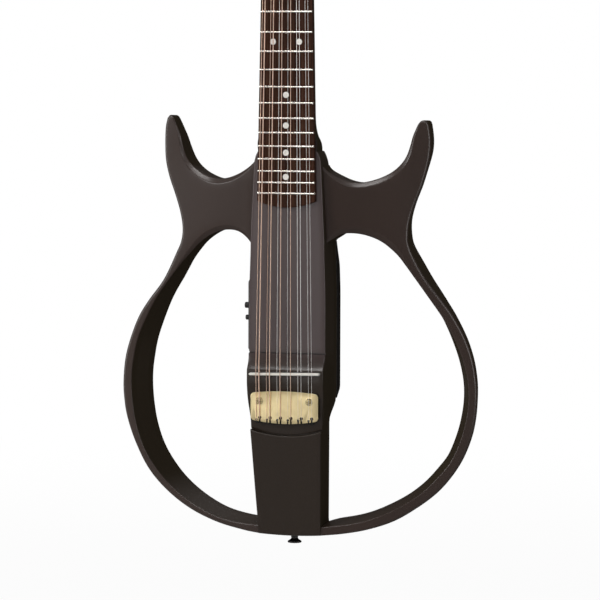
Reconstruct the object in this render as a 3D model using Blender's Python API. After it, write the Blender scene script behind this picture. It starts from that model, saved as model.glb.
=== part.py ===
# Open-frame twelve-string electro-acoustic guitar. Metres, +Z up the neck, front faces -Y.
# The origin is the centre of the outer face of the end strap button.
import bpy
import bmesh
import math
import numpy as np
from mathutils import Matrix, Vector
from mathutils.geometry import delaunay_2d_cdt

MM = 0.001

# Scale and string layout
SCALE = 648.0            # nut to twelfth fret, doubled
SADDLE_Z = 176.0         # saddle line above the strap button face
NUT_Z = SADDLE_Z + SCALE
FRETS = 22
COURSE_PITCH_SADDLE = 11.0
COURSE_PITCH_NUT = 7.2
PAIR_GAP_SADDLE = 3.3
PAIR_GAP_NUT = 2.5
STRING_DIAMETERS = (1.19, 0.69, 0.99, 0.46, 0.76, 0.30, 0.58, 0.23, 0.36, 0.36, 0.25, 0.25)
STRING_TOP_NUT = -7.3    # underside of the strings at the nut
STRING_TOP_SADDLE = -11.4

# Fits
GAP = 0.3                # between parts that touch
RUN = 0.4                # between parts that move on each other

# Place of the strap button behind the deck
ORIGIN_Y = 30.0

# Body
WING_SLOPE = 0.195       # each wing falls back from the core
HORN_SLOPE = 0.055       # and a little more at the horns
WING_LEAN = 0.016
TAIL_DROP = 11.0
TAIL_LEAN = 0.148        # the tail leans back going down
TAIL_TOP = 113.0         # its raised front ends here in the middle
TAIL_BOW = 5.8           # and this much higher at its sides
DEPTH = 38.0             # front to back of the hoops
HORN_THINNING = 15.0
CORE_BACK = 45.0
HEEL_DEPTH = 28.5        # front to back where the neck meets the core
TAIL_DEPTH = 34.5
CORE_TOP = 400.0
HOUSING_BACK = 60.0
HOUSING_LOW = 136.0
HOUSING_HIGH = 309.0

# Fingerboard and neck
BOARD_NUT = 44.0
BOARD_END = 60.6
BOARD_END_Z = 350.0
BOARD_THICK = 5.5
FRET_HEIGHT = 1.1
FRET_WIDTH = 2.2
HEAD_TILT = math.radians(12.0)
HEAD_THICK = 15.0
HEAD_LENGTH = 184.0
POST_FIRST = 26.0
POST_PITCH = HEAD_LENGTH / 7.08
POST_X = 24.0
POST_TAPER = 1.2         # each post stands this much nearer the centre line
POST_R = 3.0
GEAR_R = 5.4
WORM_R = 2.4
SHAFT_R = 1.6
PLATE_T = 1.4

# Bridge
BLOCK_RISE = 8.2
BLOCK_FALL = 0.15        # the block's front sinks below the saddle
BLOCK_LEVEL_Z = 166.0
PLATE_METAL = 1.0
HEAD_GAP = 0.05            # under the plate screw heads
SADDLE_HALF = 37.0
SADDLE_T = 3.3
PLATE_HALF = 35.3

# Controls
PANEL_Z = (198.0, 269.0)
PANEL_Y = (7.0, 33.0)
KNOB_Y = 13.0
VOLUME_Z = 243.3
TONE_Z = 230.9
POWER_Z = 278.2
POWER_TRAVEL = 1.0
JACK_Z = 60.0
JACK_Y = 22.0
DOOR_Z = (166.0, 222.0)
DOOR_HALF = 16.0


def clear_scene():
    for item in list(bpy.data.objects):
        bpy.data.objects.remove(item, do_unlink=True)


def paint(name, colour, rough, metal=0.0):
    mat = bpy.data.materials.new(name)
    mat.use_nodes = True
    shader = mat.node_tree.nodes["Principled BSDF"]
    shader.inputs["Base Color"].default_value = (*colour, 1.0)
    shader.inputs["Roughness"].default_value = rough
    shader.inputs["Metallic"].default_value = metal
    mat.diffuse_color = (*colour, 1.0)
    return mat


def node(name, verts, faces, look, origin=(0, 0, 0), smooth=True):
    """Makes one closed body in millimetres with its origin where given."""
    shift = Vector((0, ORIGIN_Y, 0))
    origin = Vector(origin)
    mesh = bpy.data.meshes.new(name)
    mesh.from_pydata([(Vector(v) - origin) * MM for v in verts], [], faces)
    work = bmesh.new()
    work.from_mesh(mesh)
    bmesh.ops.recalc_face_normals(work, faces=work.faces)
    for face in work.faces:
        face.smooth = smooth
    work.to_mesh(mesh)
    work.free()
    item = bpy.data.objects.new(name, mesh)
    bpy.context.scene.collection.objects.link(item)
    item.location = (origin - shift) * MM
    mesh.materials.append(paint(name + "_mat", *look))
    return item


def loft(rings):
    """Skins rings of equal point counts and closes both ends."""
    count = len(rings[0])
    verts = [tuple(p) for ring in rings for p in ring]
    faces = []
    for r in range(len(rings) - 1):
        a, b = r * count, (r + 1) * count
        for i in range(count):
            j = (i + 1) % count
            faces.append((a + i, a + j, b + j, b + i))
    faces.append(tuple(range(count)))
    last = (len(rings) - 1) * count
    faces.append(tuple(last + i for i in range(count)))
    return verts, faces


def bar(rows):
    """Skins stations made of a front row and a back row; the ends are closed row to row."""
    n = len(rows[0][0])
    rings = [list(front) + list(reversed(back)) for front, back in rows]
    verts, faces = loft(rings)
    faces = faces[:-2]
    for base in (0, (len(rings) - 1) * 2 * n):
        for i in range(n - 1):
            faces.append((base + i, base + i + 1, base + 2 * n - 2 - i, base + 2 * n - 1 - i))
    return verts, faces


def turned(profile, sides, place, squash=None):
    """Rings round the local Z axis from (radius, height) pairs, placed by a matrix."""
    rings = []
    for k, (radius, height) in enumerate(profile):
        flat = squash[k] if squash else 1.0
        rings.append([place @ Vector((radius * math.cos(2 * math.pi * i / sides),
                                      radius * flat * math.sin(2 * math.pi * i / sides), height))
                      for i in range(sides)])
    return loft(rings)


def block(low, high):
    (x0, y0, z0), (x1, y1, z1) = low, high
    return loft([[(x0, y0, z), (x1, y0, z), (x1, y1, z), (x0, y1, z)] for z in (z0, z1)])


def bevel(item, width, segments=1, angle=30.0):
    mod = item.modifiers.new("edges", "BEVEL")
    mod.width = width * MM
    mod.segments = segments
    mod.limit_method = "ANGLE"
    mod.angle_limit = math.radians(angle)
    mod.harden_normals = False
    return mod


def cutter(name, verts, faces):
    item = node(name, verts, faces, ((0.8, 0.2, 0.2), 0.5), smooth=False)
    item.hide_render = True
    item.display_type = "WIRE"
    return item


def combine(item, tool, operation="DIFFERENCE"):
    """Applies one exact boolean and removes its tool."""
    mod = item.modifiers.new(operation.lower(), "BOOLEAN")
    mod.operation = operation
    mod.solver = "EXACT"
    mod.object = tool
    bpy.context.view_layer.update()
    graph = bpy.context.evaluated_depsgraph_get()
    result = bpy.data.meshes.new_from_object(item.evaluated_get(graph), depsgraph=graph)
    item.modifiers.clear()
    old = item.data
    slots = list(old.materials)
    item.data = result
    result.materials.clear()
    result.materials.append(slots[0])
    for face in result.polygons:
        face.material_index = 0
    bpy.data.meshes.remove(old)
    bpy.data.objects.remove(tool, do_unlink=True)


def ease(t):
    t = min(max(t, 0.0), 1.0)
    return t * t * (3 - 2 * t)


def tail_fall(z):
    """How far the tail's front lies behind the deck; near its top it stands before it."""
    return TAIL_DROP - TAIL_LEAN * (z - 5.0)


def front_fall(x, z):
    """How far the front of a wing or hoop lies behind the deck."""
    slope = WING_SLOPE + HORN_SLOPE * ease((z - 250.0) / 150.0)
    return TAIL_DROP - WING_LEAN * (z - 10.0) + slope * (abs(x) - 33.0)


def core_half(z):
    """Half the width of the centre core: it swells to the bridge and draws in at the tail."""
    if z > 310:
        return 38.7 - 0.0474 * (z - 310) - 3.5 * max(0.0, (z - 388) / 12) ** 2
    if z > 160:
        return 38.7 + 1.4 * ease((310 - z) / 60)
    return 37.2 + 2.9 * ease((z - 115) / 45) - 0.044 * max(0.0, 115 - z)


def spline(points, step):
    """Even points along a smooth curve through the given ones."""
    p = np.array(points, dtype=float)
    p = np.vstack([2 * p[0] - p[1], p, 2 * p[-1] - p[-2]])
    out = []
    for i in range(1, len(p) - 2):
        for t in np.linspace(0, 1, 16, endpoint=False):
            a, b, c, d = p[i - 1], p[i], p[i + 1], p[i + 2]
            out.append(0.5 * (2 * b + (c - a) * t + (2 * a - 5 * b + 4 * c - d) * t * t
                              + (3 * b - a - 3 * c + d) * t ** 3))
    out.append(p[-2])
    out = np.array(out)
    run = np.concatenate([[0], np.cumsum(np.linalg.norm(np.diff(out, axis=0), axis=1))])
    count = max(2, int(round(run[-1] / step)))
    want = np.linspace(0, run[-1], count + 1)
    return np.stack([np.interp(want, run, out[:, k]) for k in (0, 1)], axis=1)


def blend_round(values, passes):
    values = np.array(values, dtype=float)
    for _ in range(passes):
        values = (np.roll(values, 1) + 2 * values + np.roll(values, -1)) / 4
    return values


def inside(point, loop):
    x, z = point
    hit = False
    for (x0, z0), (x1, z1) in zip(loop, np.roll(loop, -1, axis=0)):
        if (z0 > z) != (z1 > z) and x < (x1 - x0) * (z - z0) / (z1 - z0) + x0:
            hit = not hit
    return hit


def fill(loop, extra):
    """Triangles over a closed outline and a few inner points."""
    count = len(loop)
    points = [Vector(p) for p in loop] + [Vector(p) for p in extra]
    edges = [(i, (i + 1) % count) for i in range(count)]
    made, _, tris, origin, _, _ = delaunay_2d_cdt(points, edges, [], 1, 1e-5)
    if any(len(o) != 1 for o in origin):
        raise ValueError("outline crosses itself")
    return [tuple(origin[i][0] for i in tri) for tri in tris]


def frame_half(name, parts, look, side):
    """One wing with its hoop. Each part of the outline brings its points, the width and
    depth of its front edge, its back edge, and how far its face leans outward."""
    pts, wide, deep, lean, square = [], [], [], [], []
    for points, inset, depth, tilt, joint in parts:
        for k, p in enumerate(points[:-1]):
            t = k / (len(points) - 1)
            pts.append(p)
            wide.append(inset(t))
            deep.append(depth(t))
            lean.append(tilt)
            square.append(joint or k == 0)
    pts = np.array(pts)
    area = sum(a[0] * b[1] - b[0] * a[1] for a, b in zip(pts, np.roll(pts, -1, axis=0)))
    ahead = np.roll(pts, -1, axis=0) - pts
    back = pts - np.roll(pts, 1, axis=0)
    ahead /= np.linalg.norm(ahead, axis=1)[:, None]
    back /= np.linalg.norm(back, axis=1)[:, None]
    run = ahead + back
    run /= np.linalg.norm(run, axis=1)[:, None]
    out = np.stack([run[:, 1], -run[:, 0]], axis=1) * (1 if area > 0 else -1)
    wide, deep = blend_round(wide, 4), blend_round(deep, 4)
    lean_by = np.array([f(p, n) for f, p, n in zip(lean, pts, out)])
    lean_by = blend_round(lean_by, 4)
    for i, joint in enumerate(square):
        edge = abs(abs(pts[i, 0]) - core_half(pts[i, 1]) - GAP) < 0.2
        if edge:
            wide[i] = min(wide[i], 0.8)
            lean_by[i] = 0.0 if pts[i, 1] > 100 else lean_by[i]
            out[i] = (0, 1 if pts[i, 1] > 14 else -1) if pts[i, 1] < 30 else (side * -1, 0)
    rings = []
    for inset, depth, leaning in ((1.0, 0.0, 0.0), (0.3, 0.32, 0.0), (0.0, 1.0, 0.0)):
        rings.append([(p - n * w * inset, d * depth) for p, n, w, d in zip(pts, out, wide, deep)])
    rings.append([(p + n * l * 0.94, depth_at(p) - 2.2) for p, n, l in zip(pts, out, lean_by)])
    rings.append([(p + n * (l - min(w, 2.2)), depth_at(p)) for p, n, l, w in zip(pts, out, lean_by, wide)])
    verts = [(p[0], d + front_fall(*p), p[1]) for ring in rings for p, d in ring]
    faces = []
    count = len(pts)
    for r in range(len(rings) - 1):
        for i in range(count):
            j = (i + 1) % count
            faces.append((r * count + i, r * count + j, (r + 1) * count + j, (r + 1) * count + i))
    flat = np.array([p for p, d in rings[0]])
    inner = []
    for x in np.arange(-190, 191, 15.0):
        for z in np.arange(20, 440, 15.0):
            near = np.min(np.linalg.norm(flat - (x, z), axis=1))
            if near > 8.0 and inside((x, z), flat):
                inner.append((x, z))
    first_inner = len(verts)
    verts += [(x, front_fall(x, z), z) for x, z in inner]
    for tri in fill(flat, inner):
        faces.append(tuple(i if i < count else first_inner + i - count for i in tri))
    rear = np.array([p for p, d in rings[-1]])
    for tri in fill(rear, []):
        faces.append(tuple(4 * count + i for i in reversed(tri)))
    return node(name, verts, faces, look)


def even(value):
    return lambda t: value


def arch(base, middle):
    return lambda t: base + (middle - base) * math.sin(math.pi * min(max(t, 0), 1)) ** 0.8


def depth_at(p):
    """The horns thin towards their tips, and the feet towards the tail."""
    back = core_back(p[1]) if p[1] > HOUSING_HIGH else CORE_BACK
    room = back - 1.0 - front_fall(*p) + 0.6 * (abs(p[0]) - 33.0)
    return min(DEPTH - HORN_THINNING * ease((p[1] - CORE_TOP + 8) / 42.0), room)


def lean_outer(p, n):
    waist = math.exp(-((p[1] - 282) / 34) ** 2)
    return -(1.0 + 6.5 * abs(n[0]) * (1 - waist) * ease((CORE_TOP + 40 - p[1]) / 60))


def lean_inner(p, n):
    return (4.5 + 8.5 * abs(n[0]) ** 1.5) * ease((330 - p[1]) / 135)


def lean_small(p, n):
    return -1.0


def frame_parts(side, cut, tip, outer, inner, crown):
    """Orders the outline: cutaway, horn tip, outer edge, foot, inner edge, crown, joint."""
    joint_low = (side * (core_half(crown[-1][1]) + GAP), crown[-1][1])
    joint_top = (side * (core_half(cut[0][1]) + GAP), cut[0][1])
    foot_low = (side * (core_half(outer[-1][1]) + GAP), outer[-1][1])
    foot_top = (side * (core_half(inner[0][1]) + GAP), inner[0][1])
    cut = [joint_top] + cut[1:]
    outer = outer[:-1] + [foot_low]
    inner = [foot_top] + inner[1:]
    crown = crown[:-1] + [joint_low]
    seam = [(side * (core_half(z) + GAP), z) for z in np.linspace(joint_low[1], joint_top[1], 8)]
    return [
        (spline(cut, 9.0), arch(1.0, 6.0), arch(1.0, 4.5), lean_small, False),
        (spline([cut[-1]] + tip + [outer[0]], 3.6), even(2.4), even(2.6), lean_small, False),
        (spline(outer, 11.5), even(3.0), even(3.2), lean_outer, False),
        (np.array([foot_low, foot_top]), even(0.6), even(0.6), lean_small, True),
        (spline([foot_top] + inner[1:], 11.5), even(1.4), even(1.4), lean_inner, False),
        (spline([inner[-1]] + crown, 9.0), arch(2.0, 8.0), arch(2.0, 5.0), lean_small, False),
        (np.array(seam), even(0.6), even(0.6), lean_small, True),
    ]


BODY_BROWN = ((0.052, 0.036, 0.032), 0.42)
BODY_WIDTH = 376.1       # across both hoops

BASS_CUT = [(-35, 390.6), (-38.8, 386.9), (-44.6, 382.4), (-54.7, 376.6), (-67.8, 372), (-82, 370.8),
            (-96.1, 375.4), (-106.1, 381.6), (-112.4, 388), (-116.6, 394.9), (-119.5, 403.5),
            (-121.7, 413.3), (-124.5, 421.6)]
BASS_TIP = [(-127.2, 428), (-130, 433), (-133.7, 434.8)]
BASS_OUTER = [(-137.1, 431.6), (-139.3, 422.5), (-140.1, 406.9), (-139.3, 388.5), (-135.1, 371.4),
              (-128, 353.1), (-122.3, 336.1), (-119.4, 320.3), (-120.7, 306.7), (-126.1, 294.3),
              (-140.4, 266.7), (-158.1, 244.2), (-169.9, 226.6), (-179.7, 203.8), (-185.7, 182.9),
              (-188.1, 160.2), (-187.5, 142.3), (-184, 122.1), (-174.6, 96.5), (-159.4, 69.6),
              (-138.3, 48.2), (-111.6, 30.8), (-81.2, 18.9), (-50.9, 12.6), (-33, 10.6)]
BASS_INNER = [(-34, 19.4), (-57.7, 20.7), (-84.2, 26.1), (-110.8, 38), (-133.7, 53.9), (-151.1, 72),
              (-163.4, 90.5), (-172, 112.5), (-176.6, 136.6), (-177.9, 160.8), (-175.4, 183.4),
              (-168.2, 209.6), (-149.9, 244.7), (-130.1, 271), (-118.7, 285.1)]
BASS_CROWN = [(-108.9, 295.5), (-99.3, 305.2), (-88, 312.9), (-75.6, 317.9), (-64.1, 319.2),
              (-54.4, 317.3), (-46.2, 312.1), (-39.2, 304.6)]

TREBLE_CUT = [(35.1, 385.4), (38.2, 382.1), (42, 378.7), (51, 373.1), (61.5, 369.5), (72.2, 368.9),
              (82.9, 371), (93.3, 374.8), (102.4, 379.9), (109.3, 385.9), (114, 391.9), (117.2, 398.1),
              (119.7, 405.5), (122.6, 415.8), (125.1, 422)]
TREBLE_TIP = [(127.7, 427.6), (131.1, 431.1), (135.9, 431.2)]
TREBLE_OUTER = [(138.5, 427.6), (140.1, 418.6), (140.8, 409), (140.1, 398.2), (137.3, 383.6),
                (131.8, 364.1), (125, 346), (120.3, 329.2), (119.3, 313.5), (121, 303.9), (127.4, 289.5),
                (137, 272.6), (152.7, 251.5), (164.4, 234.9), (176.1, 213.2), (183.6, 191.4),
                (187.2, 171.2), (188, 154.3), (186.7, 134.1), (182.7, 113.7), (174.3, 91.7),
                (162.8, 72.8), (147.9, 55.6), (128, 40), (104.5, 26), (78, 17), (52.9, 12.4), (33, 10.6)]
TREBLE_INNER = [(34, 19.4), (62, 23), (85.3, 29.4), (111.9, 41.7), (132.6, 55.7), (148.6, 71.6),
                (161.9, 88.6), (172.1, 112.6), (177.6, 136), (179.1, 156.3), (177.3, 174.6),
                (172.1, 194.8), (163.7, 214.9), (153.5, 233.3), (141, 251.6), (126.9, 271.5),
                (117.2, 284.8)]
TREBLE_CROWN = [(107.5, 296.7), (93.2, 308.6), (79, 315), (65.4, 317.6), (53.8, 316.9), (44.6, 311.6),
                (39.3, 308)]


def widen(points, side):
    """Moves an outline out from the core until both hoops together are BODY_WIDTH across."""
    drawn = max(x for x, z in TREBLE_OUTER) - min(x for x, z in BASS_OUTER)
    core = core_half(SADDLE_Z)
    k = (BODY_WIDTH - 2 * core) / (drawn - 2 * core)
    return [(side * (core + (abs(x) - core) * k), z) for x, z in points]


def build_frames():
    bass = [widen(line, -1) for line in (BASS_CUT, BASS_TIP, BASS_OUTER, BASS_INNER, BASS_CROWN)]
    treble = [widen(line, 1) for line in (TREBLE_CUT, TREBLE_TIP, TREBLE_OUTER, TREBLE_INNER, TREBLE_CROWN)]
    frame_half("bass_frame", frame_parts(-1, *bass), BODY_BROWN, -1)
    frame_half("treble_frame", frame_parts(1, *treble), BODY_BROWN, 1)


def core_back(z):
    if z > HOUSING_LOW + 11:
        return CORE_BACK - (CORE_BACK - HEEL_DEPTH) * ease((z - CORE_TOP + 42.0) / 38.0)
    return CORE_BACK + (tail_fall(z) + TAIL_DEPTH - CORE_BACK) * ease((HOUSING_LOW + 11 - z) / 20)


def build_core():
    across = (-1.0, -0.97, -0.93, -0.65, -0.33, 0.0, 0.33, 0.65, 0.93, 0.97, 1.0)
    drops = (1.5, 0.4, 0.0, 0.0, 0.0, 0.0, 0.0, 0.0, 0.0, 0.4, 1.5)
    rows = []
    for z in (9.4, 20, 40, 60, 80, 100, TAIL_TOP, TAIL_TOP + 0.4, 127, 134, 141, 148, 160, 200, 250, 280, 309,
              356, 366, 377, 388, 394.5, CORE_TOP):
        half = core_half(z)
        bow = 1.2 if z < 10 else 0.0
        top_bow = TAIL_BOW if TAIL_TOP <= z < TAIL_TOP + 1 else bow
        front = []
        for u, d in zip(across, drops):
            up = z + top_bow * u * u
            front.append((half * u, (tail_fall(up) if z <= TAIL_TOP else 0.0) + d, up))
        rear = [(half * u, core_back(z) - min(d, 2.0), z + bow * u * u) for u, d in zip(across, drops)]
        rows.append((front, rear))
    core = node("core_block", *bar(rows), ((0.062, 0.050, 0.052), 0.4))
    deep = CORE_BACK + 5
    combine(core, cutter("cut_back", *block((-26, 20, 160), (30, deep, 228))))
    combine(core, cutter("cut_side", *block((-60, 10, 200.5), (-6, 30, 266.5))))
    combine(core, cutter("cut_wire", *block((-8, 30, 222), (4, deep, 262))))
    combine(core, cutter("cut_tenon", *block((-20 - GAP, -5, CORE_TOP - 48), (20 + GAP, 22 + GAP, CORE_TOP + 5))))
    turn = Matrix.Translation((-60, JACK_Y, JACK_Z)) @ Matrix.Rotation(math.radians(90), 4, "Y")
    combine(core, cutter("cut_jack", *turned([(5.8, 0), (5.8, 52)], 16, turn)))
    turn = Matrix.Translation((-60, 20, POWER_Z)) @ Matrix.Rotation(math.radians(90), 4, "Y")
    combine(core, cutter("cut_power", *turned([(2.4, 0), (2.4, 28)], 12, turn)))
    turn = Matrix.Translation((0, ORIGIN_Y, -5))
    combine(core, cutter("cut_pin", *turned([(2.1, 0), (2.1, 36)], 12, turn)))
    combine(core, cutter("cut_saddle", *block((-3, -5, 172), (3, 26, 176))))


def build_housing():
    across = (-1.0, -0.94, -0.5, 0.5, 0.94, 1.0)
    shape = (1.6, 0.0, 0.0, 0.0, 0.0, 1.6)
    rows = []
    front_y = CORE_BACK + GAP
    stations = ((HOUSING_LOW + 12, front_y + 3.4), (158, HOUSING_BACK), (218, HOUSING_BACK),
                (284, HOUSING_BACK), (HOUSING_HIGH - 1, front_y + 5))
    for z, depth in stations:
        half = core_half(z) - 0.2
        rows.append(([(half * u, front_y, z) for u in across],
                     [(half * u, max(depth - s, front_y + 1.5), z) for u, s in zip(across, shape)]))
    housing = node("rear_housing", *bar(rows), ((0.035, 0.030, 0.029), 0.5))
    combine(housing, cutter("cut_shell", *block((-34, front_y - 2, 160), (34, HOUSING_BACK - 2.4, 276))))
    combine(housing, cutter("cut_door", *block((-DOOR_HALF - RUN, HOUSING_BACK - 6, DOOR_Z[0] - RUN),
                                               (DOOR_HALF + RUN, HOUSING_BACK + 4, DOOR_Z[1] + RUN))))


def build_door():
    hinge = (0, HOUSING_BACK, DOOR_Z[1])
    door = node("battery_door", *block((-DOOR_HALF, HOUSING_BACK - 2.0, DOOR_Z[0]),
                                       (DOOR_HALF, HOUSING_BACK, DOOR_Z[1])),
                ((0.032, 0.028, 0.027), 0.55), origin=hinge, smooth=False)
    combine(door, cutter("cut_grip", *block((-7, HOUSING_BACK - 0.9, DOOR_Z[0] + 3),
                                            (7, HOUSING_BACK + 1, DOOR_Z[0] + 6))))


def block_rise(z):
    return max(1.0, BLOCK_RISE - BLOCK_FALL * max(0.0, BLOCK_LEVEL_Z - z))


def build_bridge():
    across = (-1.0, -0.97, -0.9, -0.45, 0.0, 0.45, 0.9, 0.97, 1.0)
    drops = (1.2, 0.3, 0.0, 0.0, 0.0, 0.0, 0.0, 0.3, 1.2)
    rows = []
    for z, slope in ((TAIL_TOP + 0.4 + GAP, None), (122, None), (132, None), (142, None), (152, None), (160, None),
                     (BLOCK_LEVEL_Z, None), (179.5, None), (184, 5.4), (190, 2.4), (195.8, 1.0)):
        bow = TAIL_BOW if z < 120 else 0.0
        half = core_half(z + bow)
        front, back = [], []
        for u, d in zip(across, drops):
            up = z + bow * u * u
            rise = slope or block_rise(up)
            front.append((half * u, -rise + min(d, max(rise - 0.8, 0.0)), up))
            back.append((half * u, -GAP, up))
        rows.append((front, back))
    bridge = node("bridge_block", *bar(rows), ((0.050, 0.040, 0.040), 0.45))
    slot = SADDLE_T / 2 + GAP
    combine(bridge, cutter("cut_slot", *block((-SADDLE_HALF - GAP, -20, SADDLE_Z - slot),
                                              (SADDLE_HALF + GAP, -3.2, SADDLE_Z + slot))))
    combine(bridge, cutter("plate_seat", *block((-PLATE_HALF + 1.4, -BLOCK_RISE, 129.4),
                                                (PLATE_HALF - 1.4, -0.8, 157.6))), "UNION")


def build_saddle():
    half = SADDLE_T / 2
    base, top = -4.7, STRING_TOP_SADDLE + 0.1
    rings = []
    for x, cut in ((-1, 1.6), (-0.985, 0.5), (-0.95, 0.0), (0.95, 0.0), (0.985, 0.5), (1, 1.6)):
        y = top + cut
        rings.append([(SADDLE_HALF * x, base, SADDLE_Z - half), (SADDLE_HALF * x, base, SADDLE_Z + half),
                      (SADDLE_HALF * x, y + 1.2, SADDLE_Z + half), (SADDLE_HALF * x, y + 0.25, SADDLE_Z + 0.9),
                      (SADDLE_HALF * x, y, SADDLE_Z), (SADDLE_HALF * x, y + 0.25, SADDLE_Z - 0.9),
                      (SADDLE_HALF * x, y + 1.2, SADDLE_Z - half)])
    node("saddle", *loft(rings), ((0.83, 0.81, 0.76), 0.35), smooth=False)
    node("piezo_pickup", *block((-SADDLE_HALF + 1, -4.4, SADDLE_Z - 1.3), (SADDLE_HALF - 1, -3.5, SADDLE_Z + 1.3)),
         ((0.45, 0.33, 0.16), 0.4, 1.0), smooth=False)


def build_plate():
    low, high = 125.6, 158.6
    y0, y1 = -BLOCK_RISE - GAP - PLATE_METAL, -BLOCK_RISE - GAP
    outline = []
    r = 4.0
    x = PLATE_HALF
    for cx, cz, start in ((x - r, 152.8, 0), (-x + r, 152.8, 90), (-x + r, 132.4, 180), (x - r, 132.4, 270)):
        for k in range(4):
            a = math.radians(start + 30 * k)
            outline.append((cx + r * math.cos(a), cz + r * math.sin(a)))
        if start in (0, 180):
            sign = 1 if start == 0 else -1
            edge = high if start == 0 else low
            near = 156.8 if start == 0 else 128.4
            for u in (0.66, 0.33, 0.0, -0.33, -0.66):
                outline.append((sign * u * (x - r), edge + (near - edge) * u * u))
    plate = node("tailpiece_plate", *loft([[(px, y, pz) for px, pz in outline] for y in (y0, y1)]),
                 ((0.80, 0.66, 0.36), 0.28, 1.0), smooth=False)
    for k, x in enumerate(string_xs("tail")):
        wide = STRING_DIAMETERS[k] + 1.2
        top = 134.2 if k % 2 == 0 else 130.6
        combine(plate, cutter("cut_slot", *block((x - wide / 2, y0 - 2, 120), (x + wide / 2, y1 + 2, top))))
    for s in (-1, 1):
        turn = Matrix.Translation((26 * s, 0, 148.6)) @ Matrix.Rotation(math.radians(90), 4, "X")
        combine(plate, cutter("cut_screw", *turned([(2.0, 0), (2.0, 20)], 12, turn)))
    bridge = bpy.data.objects["bridge_block"]
    for s, side in ((-1, "bass"), (1, "treble")):
        turn = Matrix.Translation((26 * s, 0, 148.6)) @ Matrix.Rotation(math.radians(90), 4, "X")
        head = -y0 + HEAD_GAP
        combine(bridge, cutter("cut_pilot", *turned([(2.0, 3.0), (2.0, 20)], 12, turn)))
        node("tailpiece_screw_" + side,
             *turned([(1.6, 3.4), (1.6, head), (3.9, head), (3.6, head + 0.4), (2.4, head + 0.6)], 16, turn),
             ((0.76, 0.62, 0.34), 0.3, 1.0))


def string_xs(place):
    """X of the twelve strings, bass to treble, main then octave."""
    pitch, pair = {"nut": (COURSE_PITCH_NUT, PAIR_GAP_NUT), "saddle": (COURSE_PITCH_SADDLE, PAIR_GAP_SADDLE),
                   "tail": (10.9, 3.3)}[place]
    out = []
    for course in range(6):
        centre = (course - 2.5) * pitch
        out += [centre + pair / 2, centre - pair / 2]
    return out


def head_matrix():
    """Headstock frame: Z up the headstock from the nut, -Y out of its face."""
    return Matrix.Translation((0, 0, NUT_Z)) @ Matrix.Rotation(-HEAD_TILT, 4, "X")


def tuner_matrix(side, k):
    """A post's own frame, its plate leaning with the edge of the headstock."""
    lean = math.atan(POST_TAPER / POST_PITCH) * side
    base = Matrix.Translation((side * POST_X, 0, POST_FIRST)) @ Matrix.Rotation(-lean, 4, "Y")
    return head_matrix() @ base @ Matrix.Translation((0, 0, POST_PITCH / math.cos(lean) * k))


def tube(points, radius, sides):
    rings = []
    points = [Vector(p) for p in points]
    for i, p in enumerate(points):
        ahead = points[min(i + 1, len(points) - 1)] - points[max(i - 1, 0)]
        ahead.normalize()
        x = Vector((1, 0, 0))
        y = ahead.cross(x).normalized()
        x = y.cross(ahead).normalized()
        rings.append([p + (x * math.cos(2 * math.pi * (j + 0.5) / sides)
                           + y * math.sin(2 * math.pi * (j + 0.5) / sides)) * radius for j in range(sides)])
    return loft(rings)


def post_of(k):
    """Side and place up the headstock of each string's post: bass strings on the left."""
    if k < 6:
        return -1, k
    return 1, 11 - k


def build_strings():
    names = ("e_low", "e_octave", "a", "a_octave", "d", "d_octave", "g", "g_octave", "b", "b_second",
             "e_high", "e_second")
    order = sorted(range(12), key=lambda k: string_xs("nut")[k])
    rank = {k: i for i, k in enumerate(order)}
    plate_front = -BLOCK_RISE - GAP - PLATE_METAL
    for k, name in enumerate(names):
        r = STRING_DIAMETERS[k] / 2
        nut_x, saddle_x, tail_x = (string_xs(w)[k] for w in ("nut", "saddle", "tail"))
        side, place = post_of(rank[k])
        frame = tuner_matrix(side, place)
        end = frame @ Vector((-side * (POST_R + 0.35 + r), -7.4, 0))
        stop = 125.8
        points = [(tail_x, plate_front + 1.0, stop - 1.6), (tail_x, plate_front - 0.1 - r, 131.6),
                  (saddle_x, STRING_TOP_SADDLE - r, SADDLE_Z), (nut_x, STRING_TOP_NUT - r, NUT_Z + 2.0),
                  tuple(end)]
        look = ((0.62, 0.36, 0.20), 0.35, 1.0) if k in (0, 2, 4, 6) else ((0.70, 0.69, 0.67), 0.3, 1.0)
        node("string_" + name, *tube(points, r, 6), look)


def board_half(z):
    return (BOARD_NUT + (BOARD_END - BOARD_NUT) * (NUT_Z - z) / (NUT_Z - BOARD_END_Z)) / 2


def build_board():
    across = (-1.0, -0.34, 0.34, 1.0)
    crown = (0.75, 0.08, 0.08, 0.75)

    def row(z, rise, arc=0.0):
        half = board_half(z)
        front = [(half * u, -BOARD_THICK + c - rise, z - arc * (1 - u * u)) for u, c in zip(across, crown)]
        return front, [(half * u, -GAP, z - arc * (1 - u * u)) for u in across]

    rows = [row(BOARD_END_Z, 0, 6.5)]
    for n in range(FRETS, 0, -1):
        z = SADDLE_Z + SCALE / 2 ** (n / 12)
        rows += [row(z - FRET_WIDTH / 2, 0), row(z, FRET_HEIGHT), row(z + FRET_WIDTH / 2, 0)]
    rows.append(row(NUT_Z - 0.1, 0))
    node("fingerboard", *bar(rows), ((0.105, 0.052, 0.036), 0.5), smooth=False)
    half = BOARD_NUT / 2 - 0.2
    top = STRING_TOP_NUT + 0.1
    rings = [[(x, -GAP, NUT_Z + 0.2), (x, -GAP, NUT_Z + 4.2), (x, top + 1.0, NUT_Z + 4.2),
              (x, top, NUT_Z + 2.2), (x, top + 0.3, NUT_Z + 0.2)] for x in (-half, half)]
    node("nut", *loft(rings), ((0.80, 0.78, 0.72), 0.4), smooth=False)


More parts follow.
